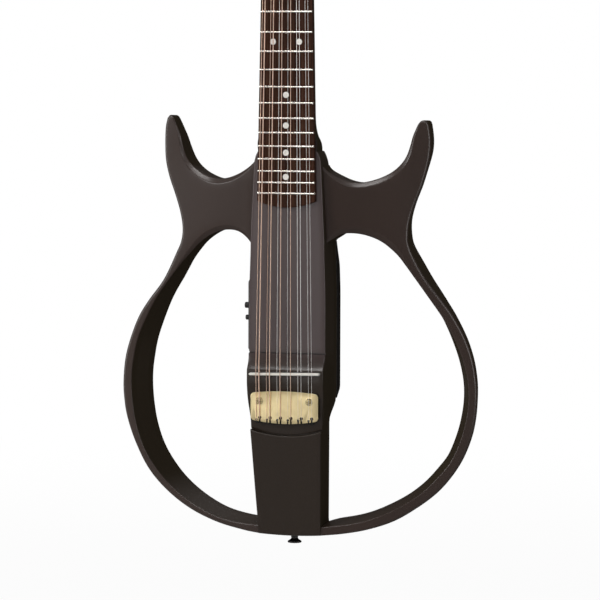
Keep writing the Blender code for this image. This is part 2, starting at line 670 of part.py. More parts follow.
def neck_ring(place, half, thick, power, z, front=0.0):
    ring = [(-half, front, z), (-half * 0.33, front, z), (half * 0.33, front, z), (half, front, z)]
    for i in range(12):
        a = math.pi * (i + 1) / 13
        c, s = math.cos(a), math.sin(a)
        ring.append((half * math.copysign(abs(c) ** power, c), front + 1.2 + (thick - 1.2) * s ** power, z))
    return [place @ Vector(p) for p in ring]


def build_neck():
    plain = Matrix.Identity(4)
    rings = []
    for up, extra, thick, power in ((GAP, 4.6, HEEL_DEPTH, 0.25), (6, 3.6, 28.2, 0.32), (16, 0.4, 25.2, 0.6),
                                    (30, -0.3, 23.8, 0.9), (50, -0.3, 23.2, 0.95), (80, -0.3, 22.5, 0.95),
                                    (240, -0.3, 21.5, 0.95), (400, -0.3, 20, 0.95),
                                    (NUT_Z - CORE_TOP - 4, -0.3, 20, 0.9)):
        z = CORE_TOP + up
        half = min(board_half(z) + extra, core_half(CORE_TOP)) if up < 40 else board_half(z) + extra
        rings.append(neck_ring(plain, half, thick, power, z))
    head = head_matrix()
    for z, half, thick, power in ((3.5, 22.5, 18, 0.7), (7.0, 25.5, 15.6, 0.4), (10.5, 29.5, HEAD_THICK, 0.3),
                                  (17, 35.4, HEAD_THICK, 0.3), (HEAD_LENGTH - 16, 28.6, HEAD_THICK, 0.3),
                                  (HEAD_LENGTH - 6, 25.5, HEAD_THICK, 0.3), (HEAD_LENGTH, 17, HEAD_THICK, 0.3)):
        rings.append(neck_ring(head, half, thick, power, z))
    neck = node("neck", *loft(rings), ((0.048, 0.034, 0.030), 0.42))
    combine(neck, cutter("tenon", *block((-20, 0.0, CORE_TOP - 47), (20, 22, CORE_TOP + 8))), "UNION")
    combine(neck, cutter("cut_rod", *block((-3.2, -2, CORE_TOP + 20), (3.2, 10.4, NUT_Z - 6))))
    for side in (-1, 1):
        for k in range(6):
            turn = tuner_matrix(side, k) @ Matrix.Rotation(math.radians(90), 4, "X")
            combine(neck, cutter("cut_post", *turned([(POST_R + RUN, -30), (POST_R + RUN, 10)], 12, turn)))
    node("truss_rod", *block((-2.9, 0.6, CORE_TOP + 21), (2.9, 10.0, NUT_Z - 7)), ((0.30, 0.30, 0.31), 0.4, 1.0),
         smooth=False)


def build_tuners():
    back = HEAD_THICK
    shaft_y = back + GAP + PLATE_T + 3.6
    worm_drop = GEAR_R + WORM_R + GAP
    for side, word in ((-1, "bass"), (1, "treble")):
        base = tuner_matrix(side, 0)
        length = POST_PITCH * 5
        strip_verts, faces = block((-7.5, back + GAP, -15), (7.5, back + GAP + PLATE_T, length + 11))
        strip = node("tuner_strip_" + word, [base @ Vector(v) for v in strip_verts], faces,
                     ((0.72, 0.58, 0.31), 0.3, 1.0), smooth=False)
        for k in range(6):
            place = tuner_matrix(side, k)
            turn = place @ Matrix.Rotation(math.radians(90), 4, "X")
            combine(strip, cutter("cut_post", *turned([(POST_R + RUN, -30), (POST_R + RUN, 0)], 12, turn)))
            for x in (-5.6, 5.6):
                lug, lug_faces = block((x - 1.0, back + GAP + PLATE_T - 0.4, -worm_drop - 2.2),
                                       (x + 1.0, shaft_y - SHAFT_R - GAP, -worm_drop + 2.2))
                combine(strip, cutter("lug", [place @ Vector(v) for v in lug], lug_faces), "UNION")
            turn = place @ Matrix.Rotation(math.radians(90), 4, "X")
            gear = back + GAP + PLATE_T + 1.2
            node("tuner_post_%s_%d" % (word, k + 1),
                 *turned([(GEAR_R, -gear - 4.4), (GEAR_R, -gear), (POST_R, -gear), (POST_R, 6.0),
                          (POST_R * 0.82, 6.9), (POST_R * 0.82, 8.2), (POST_R, 9.0), (POST_R * 0.8, 11.0)],
                         12, turn),
                 ((0.76, 0.62, 0.34), 0.25, 1.0), origin=place @ Vector((0, 0, 0)))
            axis = place @ Matrix.Translation((0, shaft_y, -worm_drop)) \
                @ Matrix.Rotation(math.radians(90) * side, 4, "Y")
            node("tuner_button_%s_%d" % (word, k + 1),
                 *turned([(SHAFT_R, -7.4), (SHAFT_R, -4.2), (WORM_R, -4.0), (WORM_R, 4.0), (SHAFT_R, 4.2),
                          (SHAFT_R, 15.5), (4.2, 16.5), (8.2, 21.0), (8.6, 27.0), (5.0, 31.0)],
                         10, axis, squash=(1, 1, 1, 1, 1, 1, 0.9, 0.55, 0.5, 0.5)),
                 ((0.76, 0.62, 0.34), 0.3, 1.0), origin=axis @ Vector((0, 0, 0)))


def build_electrics():
    edge = -core_half(235)
    panel = node("preamp_module", *block((edge - GAP - 2.4, PANEL_Y[0], PANEL_Z[0]),
                                         (edge - GAP, PANEL_Y[1], PANEL_Z[1])),
                 ((0.030, 0.029, 0.030), 0.5), smooth=False)
    combine(panel, cutter("body", *block((edge - 1.0, 10.6, 201.2), (-14, 29.4, 265.8))), "UNION")
    for z, radius, reach, name in ((VOLUME_Z, 3.1, 5.0, "volume_knob"), (TONE_Z, 2.6, 4.2, "tone_knob")):
        turn = Matrix.Translation((edge - GAP - 2.4, KNOB_Y, z)) @ Matrix.Rotation(math.radians(-90), 4, "Y")
        combine(panel, cutter("cut_shaft", *turned([(1.5 + RUN, -9), (1.5 + RUN, 5)], 12, turn)))
        node(name, *turned([(1.5, -7.5), (1.5, RUN), (radius, RUN), (radius, reach - 0.5), (radius - 0.5, reach)],
                           16, turn), ((0.028, 0.027, 0.027), 0.45), origin=turn @ Vector((0, 0, 0)))
    side = -core_half(POWER_Z)
    turn = Matrix.Translation((side, 20.0, POWER_Z)) @ Matrix.Rotation(math.radians(-90), 4, "Y")
    node("power_button", *turned([(1.9, -3.6), (1.9, 2.4), (1.4, 2.9)], 12, turn),
         ((0.030, 0.028, 0.028), 0.4), origin=turn @ Vector((0, 0, 0)))
    batt = node("battery", *block((-12.5, 24.0, 168), (14.0, 41.5, 216.5)), ((0.10, 0.10, 0.11), 0.45),
                smooth=False)
    bevel(batt, 1.0)
    side = -core_half(JACK_Z)
    turn = Matrix.Translation((side, JACK_Y, JACK_Z)) @ Matrix.Rotation(math.radians(-90), 4, "Y")
    node("jack_socket", *turned([(5.4, -26), (5.4, GAP + 0.2), (11.0, GAP + 0.2), (11.0, 1.5), (10.0, 2.1), (3.3, 2.1),
                                 (3.3, -22)], 20, turn), ((0.34, 0.33, 0.33), 0.35, 1.0),
         origin=turn @ Vector((0, 0, 0)))
    place = Matrix.Translation((0, ORIGIN_Y, 0))
    node("end_strap_button", *turned([(6.6, 0.0), (7.2, 0.7), (7.0, 1.6), (3.6, 4.0), (3.6, 6.2), (5.6, 9.0),
                                      (5.6, 9.1), (1.8, 9.1), (1.8, 27.0)], 20, place),
         ((0.030, 0.028, 0.027), 0.35, 0.6), origin=(0, ORIGIN_Y, 0))


def main():
    clear_scene()
    build_frames()
    build_core()
    build_housing()
    build_door()
    build_bridge()
    build_saddle()
    build_plate()
    build_board()
    build_neck()
    build_tuners()
    build_strings()
    build_electrics()


main()
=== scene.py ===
"""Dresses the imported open-frame twelve-string guitar with its finished pieces and materials.

Sizes inside the functions are millimetres from the middle of the deck's front face, the same
as in the CAD source: X to the treble side, Y to the back, Z up the neck.
"""
import math

import bmesh
import bpy
import numpy as np
from bpy.props import FloatProperty, FloatVectorProperty, PointerProperty
from mathutils import Matrix, Vector
from mathutils.geometry import delaunay_2d_cdt


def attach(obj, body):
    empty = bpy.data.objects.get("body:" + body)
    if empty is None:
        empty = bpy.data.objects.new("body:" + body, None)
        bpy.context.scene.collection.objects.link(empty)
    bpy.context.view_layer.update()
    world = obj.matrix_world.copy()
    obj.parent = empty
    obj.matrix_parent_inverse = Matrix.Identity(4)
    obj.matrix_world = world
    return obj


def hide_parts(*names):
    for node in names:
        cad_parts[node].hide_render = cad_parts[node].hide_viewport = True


bl_info = {
    "name": "Open-frame twelve-string guitar",
    "version": (1, 0, 0),
    "blender": (4, 5, 0),
    "location": "3D View > Sidebar > Guitar",
    "description": "Makes the finished pieces of the guitar around its packed frame",
    "category": "Object",
}

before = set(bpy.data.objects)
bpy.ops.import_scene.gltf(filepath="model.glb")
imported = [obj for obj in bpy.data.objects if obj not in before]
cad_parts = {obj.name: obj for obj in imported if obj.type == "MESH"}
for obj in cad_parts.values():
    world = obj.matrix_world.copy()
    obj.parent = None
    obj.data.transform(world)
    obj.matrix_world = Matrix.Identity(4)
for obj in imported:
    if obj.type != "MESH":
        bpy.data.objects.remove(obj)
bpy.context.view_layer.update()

MM = 0.001
ROOT = "guitar"
GAP = 0.3                # between neighbouring pieces
RUN = 0.4                # round a piece that moves
BUTTON_Y = 30.0          # the frame's origin lies this far behind the deck

# Core and tail
CORE_TOP = 400.0
CORE_BACK = 45.0
HEEL_DEPTH = 28.5
TAIL_TOP = 113.0
TAIL_DEPTH = 34.5
TAIL_DROP = 11.0
TAIL_LEAN = 0.148
TAIL_BOW = 5.8
TAIL_LIP = 1.8

# Wings and hoops
DEPTH = 38.0
HORN_THINNING = 15.0
WING_ROOT = 33.0         # from the middle to where the wings' slope begins
WING_SLOPE = 0.195
HORN_SLOPE = 0.055
WING_LEAN = 0.016
SEAM_GAP = 0.12
REAR_ROUND = 2.2
STRAIGHT = 0.94          # share of a wall's lean that lies before its rear rounding

# Bridge block, saddle and plate
BLOCK_RISE = 8.2
BLOCK_FALL = 0.15
BLOCK_LEVEL_Z = 166.0
SADDLE_Z = 176.0
SADDLE_SLANT = 0.021
SADDLE_THICK = 2.7
SADDLE_HALF = 37.0
PLATE_METAL = 1.0
PLATE_HALF = 35.3
PLATE_SCREW_X = 26.0
PLATE_SCREW_Z = 148.6
PLATE_FRONT = -BLOCK_RISE - GAP - PLATE_METAL

# Fingerboard and strings
FRETS = 22
BOARD_END_Z = 350.0
BOARD_THICK = 5.5
BOARD_NUT = 44.0
BOARD_END = 60.6
BOARD_ARC = 6.5          # how far the board's lower end bows
STRING_TOP_NUT = -7.3
STRING_TOP_SADDLE = -11.4
STRING_DIAMETERS = (1.19, 0.69, 0.99, 0.46, 0.76, 0.30, 0.58, 0.23, 0.36, 0.36, 0.25, 0.25)
STRING_NAMES = ("e_low", "e_octave", "a", "a_octave", "d", "d_octave", "g", "g_octave", "b", "b_second",
                "e_high", "e_second")
WOUND = (0, 1, 2, 3, 4, 6)
# pitch of the six pairs, and of the two strings in a pair
STRING_SPREAD = {"nut": (7.2, 2.5), "saddle": (11.0, 3.3), "tail": (10.9, 3.3)}
BALL_Z = 127.2
WRAP_Y = -7.9            # first turn of a string on its post

# Headstock and tuners
HEAD_TILT = math.radians(12.0)
HEAD_THICK = 15.0
HEAD_LENGTH = 184.0
POST_FIRST = 26.0
POST_PITCH = HEAD_LENGTH / 7.08
POST_X = 24.0
POST_TAPER = 1.2
POST_R = 3.0
POST_WAIST = 0.82        # share of a post's radius where the string wraps
GEAR_R = 5.4
WORM_R = 2.4
SHAFT_R = 1.6
PLATE_T = 1.4
SIDES = ((-1, "bass"), (1, "treble"))
TUNERS = [(side, k) for side, word in SIDES for k in range(6)]

# Housing, battery and controls
HOUSING_BACK = 60.0
DOOR_Z = (166.0, 222.0)
DOOR_HALF = 16.0
JACK_Y, JACK_Z = 22.0, 60.0
POWER_Y, POWER_Z = 20.0, 278.2
KNOB_Y = 13.0
KNOBS = (("volume", 243.3, 3.1, 5.0), ("tone", 230.9, 2.6, 4.2))

# Camera and lights, in metres, degrees and watts
CAMERA_PLACE = (0.96485, -3.34723, 0.51004)
CAMERA_TURNS = ((16.0, "Z"), (90 - 4.3, "X"), (0.15, "Z"))
CAMERA_LENS = 206.4
LIGHTS = (
    # name, place, target, size, power, lights matt surfaces, shows in gloss
    ("key_light", (-2.3, -2.07, 1.45), (0.0, 0.0, 0.34), (1.2, 1.2), 44.0, True, True),
    ("fill_light", (1.11, -2.9, 1.45), (0.0, 0.0, 0.35), (0.8, 0.8), 13.0, True, True),
    ("low_light", (-1.0, -3.2, 0.1), (0.0, 0.0, 0.30), (0.9, 0.9), 5.5, True, True),
    ("top_light", (-0.1, -0.8, 2.15), (0.0, 0.0, 0.2), (1.2, 0.4), 18.0, False, True),
    ("back_light", (-0.5, 3.1, 1.5), (0.0, 0.0, 0.40), (1.4, 1.4), 45.0, True, False),
    ("rim_left", (-2.1, -0.6, 0.5), (-0.1, 0.0, 0.3), (0.8, 1.6), 20.0, False, True),
    ("rim_right", (1.9, -1.2, 0.5), (0.1, 0.0, 0.3), (0.8, 1.6), 20.0, False, True),
)

# Turns that point a piece's own Z to the front, the back, the bass side or the treble side
FRONTWARD = Matrix.Rotation(math.radians(90), 4, "X")
BACKWARD = Matrix.Rotation(math.radians(-90), 4, "X")
LEFTWARD = Matrix.Rotation(math.radians(-90), 4, "Y")
RIGHTWARD = Matrix.Rotation(math.radians(90), 4, "Y")
# Frames that swap two axes, for plates that face upwards or sideways
SWAP_YZ = Matrix(((1, 0, 0, 0), (0, 0, 1, 0), (0, 1, 0, 0), (0, 0, 0, 1)))
SWAP_XY = Matrix(((0, 1, 0, 0), (1, 0, 0, 0), (0, 0, 1, 0), (0, 0, 0, 1)))


# Shader maths

class Graph:
    """Adds nodes to one node tree."""

    def __init__(self, tree):
        self.tree = tree

    def feed(self, socket, value):
        if isinstance(value, Term):
            self.tree.links.new(value.socket, socket)
        elif socket.type == "RGBA" and len(value) == 3:
            socket.default_value = (*value, 1.0)
        else:
            socket.default_value = value

    def add(self, kind, settings=None, inputs=None, output=0):
        node = self.tree.nodes.new("ShaderNode" + kind)
        for key, value in (settings or {}).items():
            if key == "stops":
                ramp = node.color_ramp
                while len(ramp.elements) < len(value):
                    ramp.elements.new(0.5)
                for element, (spot, colour) in zip(ramp.elements, value):
                    element.position = spot
                    element.color = (*colour, 1.0)
            else:
                setattr(node, key, value)
        for key, value in (inputs or {}).items():
            self.feed(node.inputs[key], value)
        return Term(self, node.outputs[output])

    def blend(self, factor, first, second):
        return self.add("Mix", {"data_type": "RGBA"}, {0: factor, 6: first, 7: second}, 2)


class Term:
    """A node's socket that can be used in plain arithmetic."""

    def __init__(self, graph, socket):
        self.graph = graph
        self.socket = socket

    def maths(self, operation, *values):
        return self.graph.add("Math", {"operation": operation}, dict(enumerate(values)))

    def __add__(self, other):
        return self.maths("ADD", self, other)

    __radd__ = __add__

    def __sub__(self, other):
        return self.maths("SUBTRACT", self, other)

    def __rsub__(self, other):
        return self.maths("SUBTRACT", other, self)

    def __mul__(self, other):
        return self.maths("MULTIPLY", self, other)

    __rmul__ = __mul__

    def size(self):
        return self.maths("ABSOLUTE", self)

    def sine(self):
        return self.maths("SINE", self)

    def most(self, other):
        return self.maths("MAXIMUM", self, other)

    def between(self, low, high):
        """Rises smoothly from 0 at low to 1 at high."""
        return self.graph.add("MapRange", {"interpolation_type": "SMOOTHSTEP"}, {0: self, 1: low, 2: high})

    def part(self, axis):
        return self.graph.add("SeparateXYZ", None, {0: self}, axis)


class Look(Graph):
    """One material. Places on the piece are in millimetres."""

    def __init__(self, name, fixed):
        self.material = bpy.data.materials.new(name)
        self.material.use_nodes = True
        super().__init__(self.material.node_tree)
        self.shader = self.tree.nodes["Principled BSDF"]
        for socket, value in fixed.items():
            self.feed(self.shader.inputs[socket], value)

    def place(self, stretch=(1, 1, 1)):
        spot = self.add("TexCoord", output="Object")
        return self.add("Mapping", None, {"Vector": spot, "Scale": tuple(s / MM for s in stretch)})

    def noise(self, stretch, detail=3.0, roughness=0.5, warp=0.0):
        return self.add("TexNoise", None, {"Vector": self.place(stretch), "Scale": 1.0, "Detail": detail,
                                           "Roughness": roughness, "Distortion": warp})

    def facing(self):
        """1 on the front, the back and what faces upwards, 0 along the side walls; open_grain also paints
        shade with it, darkest on the side walls and lighter where walls face upwards.
        """
        normal = self.add("TexCoord", output="Normal")
        return normal.part("Y").size().between(0.3, 0.65).most(normal.part("Z").between(0.65, 0.9) * 0.5)

    def finish(self, colour, rough=None, height=None, depth=0.0, strength=1.0, coat=None):
        """Links what varies; depth is the bump's height in millimetres."""
        for socket, value in (("Base Color", colour), ("Roughness", rough), ("Coat Weight", coat)):
            if value is not None:
                self.feed(self.shader.inputs[socket], value)
        if height is not None:
            bump = self.add("Bump", None, {"Strength": strength, "Distance": depth * MM, "Height": height})
            self.feed(self.shader.inputs["Normal"], bump)
        return self.material


def shade(colour, gain):
    return tuple(c * gain for c in colour[:3])


def lacquered(name, haze):
    """A matt material, and where its lacquer lies: on the faces and not along the side walls."""
    look = Look(name, {"Specular IOR Level": 0.0, "Coat IOR": 1.42, "Coat Roughness": haze})
    return look, look.facing()


def open_grain(name, colour, haze, tail=None, rear=None, grain=1.0):
    """Dark stained wood with long fine pores, lacquered on its faces and dry along its walls, where its
    colour is darkened as painted shade.
    """
    look, face = lacquered(name, haze)
    broad = look.noise((0.021, 0.021, 0.006), 2.0)
    pores = look.noise((1.5, 1.5, 0.075), 4.0, 0.65, 0.2).between(0.55, 0.74)
    fine = look.noise((2.6, 2.6, 0.9), 3.0)
    tone = look.blend(broad, shade(colour, 0.80), shade(colour, 1.20))
    # Above the bridge the front takes the deck colour, which holds painted sheen; below it and behind the
    # front, the darker stains.
    if tail is not None:
        low = 1.0 - look.place().part("Z").between(175.0, 205.0)
        tone = look.blend(low, tone, look.blend(broad, shade(tail, 0.85), shade(tail, 1.15)))
    if rear is not None:
        behind = look.place().part("Y").between(1.0, 4.0)
        tone = look.blend(behind, tone, look.blend(broad, shade(rear, 0.85), rear))
    tone = look.blend(pores * (0.45 * grain), tone, shade(colour, 0.45))
    tone = look.blend(fine * 0.14, tone, shade(colour, 1.7))
    # Painted shade: the side walls take the darker wall colour, as if in shadow, and walls that face upwards
    # keep more of the stain, as if lit from above.
    tone = look.blend((1.0 - face) * 0.85, tone, colours().walls)
    return look.finish(tone, fine * 0.14 + 0.5, fine * 0.35 - pores, 0.05 * grain, 0.45, face)


def rosewood(name, dark, light):
    """Oiled, streaked and open-pored wood along the neck."""
    look = Look(name, {"Specular IOR Level": 0.06})
    streak = look.noise((0.42, 0.42, 0.010), 5.0, 0.62, 0.6)
    lines = look.noise((1.9, 1.9, 0.035), 3.0, 0.6)
    pores = look.noise((3.4, 3.4, 0.16), 3.0, 0.6).between(0.57, 0.70)
    middle = tuple((d + l) / 2 for d, l in zip(dark, light))
    tone = look.add("ValToRGB", {"stops": ((0.30, tuple(dark)), (0.50, middle), (0.70, tuple(light)))},
                    {0: streak})
    tone = look.blend(lines.between(0.40, 0.66) * 0.55, tone, shade(dark, 0.75))
    tone = look.blend(pores * 0.7, tone, shade(dark, 0.3))
    return look.finish(tone, pores * 0.2 + (lines * 0.1 + 0.42), lines * 0.2 - pores, 0.06, 0.6)


def brushed(name, colour, rough, stretch, wear=0.10):
    """Plated metal with fine brush lines and faint cloudy marks."""
    look = Look(name, {"Metallic": 1.0})
    lines = look.noise(stretch, 4.0, 0.6)
    cloud = look.noise((0.09, 0.09, 0.09), 4.0, 0.6)
    tone = look.blend(cloud.between(0.35, 0.7) * 0.5, shade(colour, 1.06), shade(colour, 0.86))
    return look.finish(tone, lines * wear + (cloud * 0.10 + (rough - wear * 0.5 - 0.05)), lines, 0.012, 0.5)


def wound(name, colour, pitch):
    """Bronze wire wrapped round a core, seen as fine rings with painted shade in the grooves between them.
    """
    look = Look(name, {"Metallic": 1.0})
    rings = (look.place().part("Z") * (2 * math.pi / pitch)).sine()
    cloud = look.noise((0.3, 0.3, 0.05), 3.0)
    # Painted shade: the grooves between the turns are darkened to 0.45 of the bronze.
    tone = look.blend(rings.between(-1.0, 0.2), shade(colour, 0.45), colour)
    tone = look.blend(cloud * 0.35, tone, shade(colour, 0.7))
    return look.finish(tone, cloud * 0.12 + 0.36, rings, 0.05, 0.8)


def moulded(name, colour, haze, coarse=2.2):
    """Moulded plastic with a fine spark texture."""
    look, face = lacquered(name, haze)
    grain = look.noise((coarse, coarse, coarse), 3.0, 0.6)
    broad = look.noise((0.05, 0.05, 0.05), 2.0)
    tone = look.blend(broad, shade(colour, 0.85), shade(colour, 1.2))
    return look.finish(tone, grain * 0.16 + 0.5, grain, 0.05, 0.35, face)


def bone(name, colour):
    """Polished bone with faint growth streaks."""
    look = Look(name, {"Subsurface Weight": 0.06, "Subsurface Radius": (0.002, 0.001, 0.0006)})
    streak = look.noise((0.12, 1.5, 1.5), 4.0, 0.6, 0.3)
    tone = look.blend(streak.between(0.42, 0.72) * 0.5, colour, shade(colour, 0.84))
    return look.finish(tone, streak * 0.15 + 0.25, streak, 0.01, 0.3)


def pearl(name, colour):
    """Shell inlay with soft clouds of pink and green."""
    look = Look(name, {"Coat Weight": 0.6, "Coat Roughness": 0.12})
    cloud = look.noise((0.45, 0.45, 0.45), 3.0, 0.6, 1.2)
    band = look.noise((0.9, 0.9, 0.3), 2.0, 0.5, 2.0)
    tone = look.blend(cloud.between(0.35, 0.65), shade(colour, 0.92), (0.95, 0.90, 0.86))
    tone = look.blend(band.between(0.5, 0.7) * 0.4, tone, (0.78, 0.86, 0.80))
    return look.finish(tone, cloud * 0.15 + 0.22)


def lens(name, colour, glow):
    """Small coloured indicator lens."""
    look = Look(name, {"Coat Weight": 1.0, "Coat Roughness": 0.05, "Emission Strength": glow})
    cloud = look.noise((0.6, 0.6, 0.6), 2.0)
    tone = look.blend(cloud, shade(colour, 0.8), shade(colour, 1.15))
    look.feed(look.shader.inputs["Emission Color"], tone)
    return look.finish(tone, cloud * 0.06 + 0.12)


class GuitarColours(bpy.types.PropertyGroup):
    """Colours of the finishes, as linear values."""

    def tint(label, text, value):
        return FloatVectorProperty(name=label, description=text, default=value, subtype="COLOR",
                                   size=3, min=0.0, max=1.0)

    wings: tint("Wings", "Stain of the wings and hoops", (0.036, 0.0215, 0.0165))
    # Deck: partly the deck's stain and partly painted reflection, lighter than the tail to stand in for the
    # sheen of a lamp mirrored in it.
    deck: tint("Deck", "Stain of the deck under the strings", (0.066, 0.046, 0.045))
    tail: tint("Tail", "Stain of the tail and the bridge block", (0.0155, 0.0088, 0.0030))
    # Walls: painted shade, a colour darker than the stain that stands in for the shade along the side walls,
    # where the lacquer is also left off.
    walls: tint("Walls", "Dry wood along the side walls", (0.033, 0.0265, 0.0175))
    neck: tint("Neck", "Stain of the neck and headstock", (0.022, 0.0145, 0.012))
    board_dark: tint("Fingerboard, dark", "Dark streaks of the fingerboard", (0.018, 0.0075, 0.0045))
    board_light: tint("Fingerboard, light", "Light streaks of the fingerboard", (0.080, 0.031, 0.0175))
    gold: tint("Gold plate", "Pale gold of the tailpiece plate", (0.78, 0.64, 0.36))
    gold_tuners: tint("Gold tuners", "Gold of the tuners", (0.83, 0.62, 0.29))
    bronze: tint("Bronze", "Windings of the bass strings", (0.84, 0.60, 0.47))
    steel: tint("Steel", "Plain strings", (0.88, 0.85, 0.83))
    nickel: tint("Nickel", "Frets", (0.86, 0.82, 0.76))
    bone: tint("Bone", "Saddle and nut", (0.85, 0.82, 0.75))
    pearl: tint("Pearl", "Position dots", (0.83, 0.80, 0.73))
    plastic: tint("Plastic", "Controls and housing", (0.017, 0.0155, 0.015))
    dark_metal: tint("Dark metal", "Strap button and small screws", (0.055, 0.052, 0.050))
    inner_metal: tint("Inner metal", "Jack, battery ends, truss rod and pickup", (0.42, 0.41, 0.40))
    # Painted shadow: the brass ball ends are coloured near black so that they read as the shade inside the
    # plate's slots.
    balls: tint("String balls", "Ball ends of the strings", (0.006, 0.0055, 0.005))
    wrap: tint("Battery wrap", "Sleeve of the battery", (0.028, 0.030, 0.034))
    marks: tint("Marks", "Pointers and marks on the control panel", (0.72, 0.71, 0.68))
    light: tint("Light", "Indicator lens", (0.45, 0.03, 0.02))
    del tint


class GuitarSizes(bpy.types.PropertyGroup):
    """Sizes of the details."""

    def length(label, text, value):
        return FloatProperty(name=label, description=text, default=value * MM, min=0.0,
                             subtype="DISTANCE", unit="LENGTH", precision=4)

    scale: length("Scale", "Nut to saddle", 648.0)
    outline_step: length("Outline step", "Spacing of points along the wings' outline", 2.6)
    fret_width: length("Fret width", "Width of a fret's crown", 1.9)
    fret_height: length("Fret height", "Height of a fret's crown", 1.1)
    dot: length("Dot radius", "Radius of a position dot", 3.1)
    side_dot: length("Side dot radius", "Radius of a side dot", 1.0)
    winding: length("Winding pitch", "Pitch of the bass strings' windings", 0.34)
    floor_drop: length("Floor drop", "Floor below the strap button", 110.0)
    del length


def colours():
    return bpy.context.scene.guitar_colours


def sizes(name):
    return getattr(bpy.context.scene.guitar_sizes, name) / MM


FINISHES = {
    "wings": lambda c: open_grain("satin_wings", c.wings, 0.30),
    "core": lambda c: open_grain("satin_core", c.deck, 0.27, c.tail, c.wings, 0.6),
    "neck": lambda c: open_grain("satin_neck", c.neck, 0.40),
    "board": lambda c: rosewood("streaked_rosewood", c.board_dark, c.board_light),
    "gold": lambda c: brushed("pale_gold", c.gold, 0.33, (0.05, 3.0, 3.0)),
    # Painted shade: the plate screws' gold is 0.6 of the plate's, darkened to stand in for the shade in
    # their rings and crosses.
    "screw_gold": lambda c: brushed("screw_gold", shade(c.gold, 0.6), 0.28, (1.5, 1.5, 1.5)),
    "tuner_gold": lambda c: brushed("tuner_gold", c.gold_tuners, 0.22, (1.2, 1.2, 1.2), 0.06),
    "bronze": lambda c: wound("wound_bronze", tuple(c.bronze), sizes("winding")),
    "steel": lambda c: brushed("plain_steel", c.steel, 0.45, (2.0, 2.0, 0.05), 0.08),
    "nickel": lambda c: brushed("nickel_frets", c.nickel, 0.24, (0.06, 2.5, 2.5), 0.08),
    "dark_metal": lambda c: brushed("dark_metal", c.dark_metal, 0.32, (1.2, 1.2, 1.2), 0.08),
    "dark_balls": lambda c: moulded("dark_balls", c.balls, 0.5, 4.0),
    "inner_metal": lambda c: brushed("inner_metal", c.inner_metal, 0.36, (1.5, 1.5, 0.2), 0.12),
    "bone": lambda c: bone("polished_bone", tuple(c.bone)),
    "pearl": lambda c: pearl("shell_dots", tuple(c.pearl)),
    "housing": lambda c: moulded("moulded_housing", c.plastic, 0.52),
    "panel": lambda c: moulded("moulded_panel", shade(c.plastic, 0.8), 0.42, 3.0),
    "knob": lambda c: moulded("moulded_knobs", shade(c.plastic, 0.7), 0.36, 4.0),
    "wrap": lambda c: moulded("battery_wrap", c.wrap, 0.35, 0.8),
    "mark": lambda c: moulded("white_marks", c.marks, 0.4, 3.0),
    "light": lambda c: lens("indicator_lens", c.light, 0.15),
}
MADE = {}


def finish(name):
    if name not in MADE:
        MADE[name] = FINISHES[name](colours())
    return MADE[name]


# Mesh building

def at(x, y, z):
    return Matrix.Translation((x, y, z))


def quads(rows, count):
    """Faces between rows of equal counts of points, each row closed."""
    pairs = [(i, (i + 1) % count) for i in range(count)]
    return [(r * count + i, r * count + j, (r + 1) * count + j, (r + 1) * count + i)
            for r in range(rows - 1) for i, j in pairs]


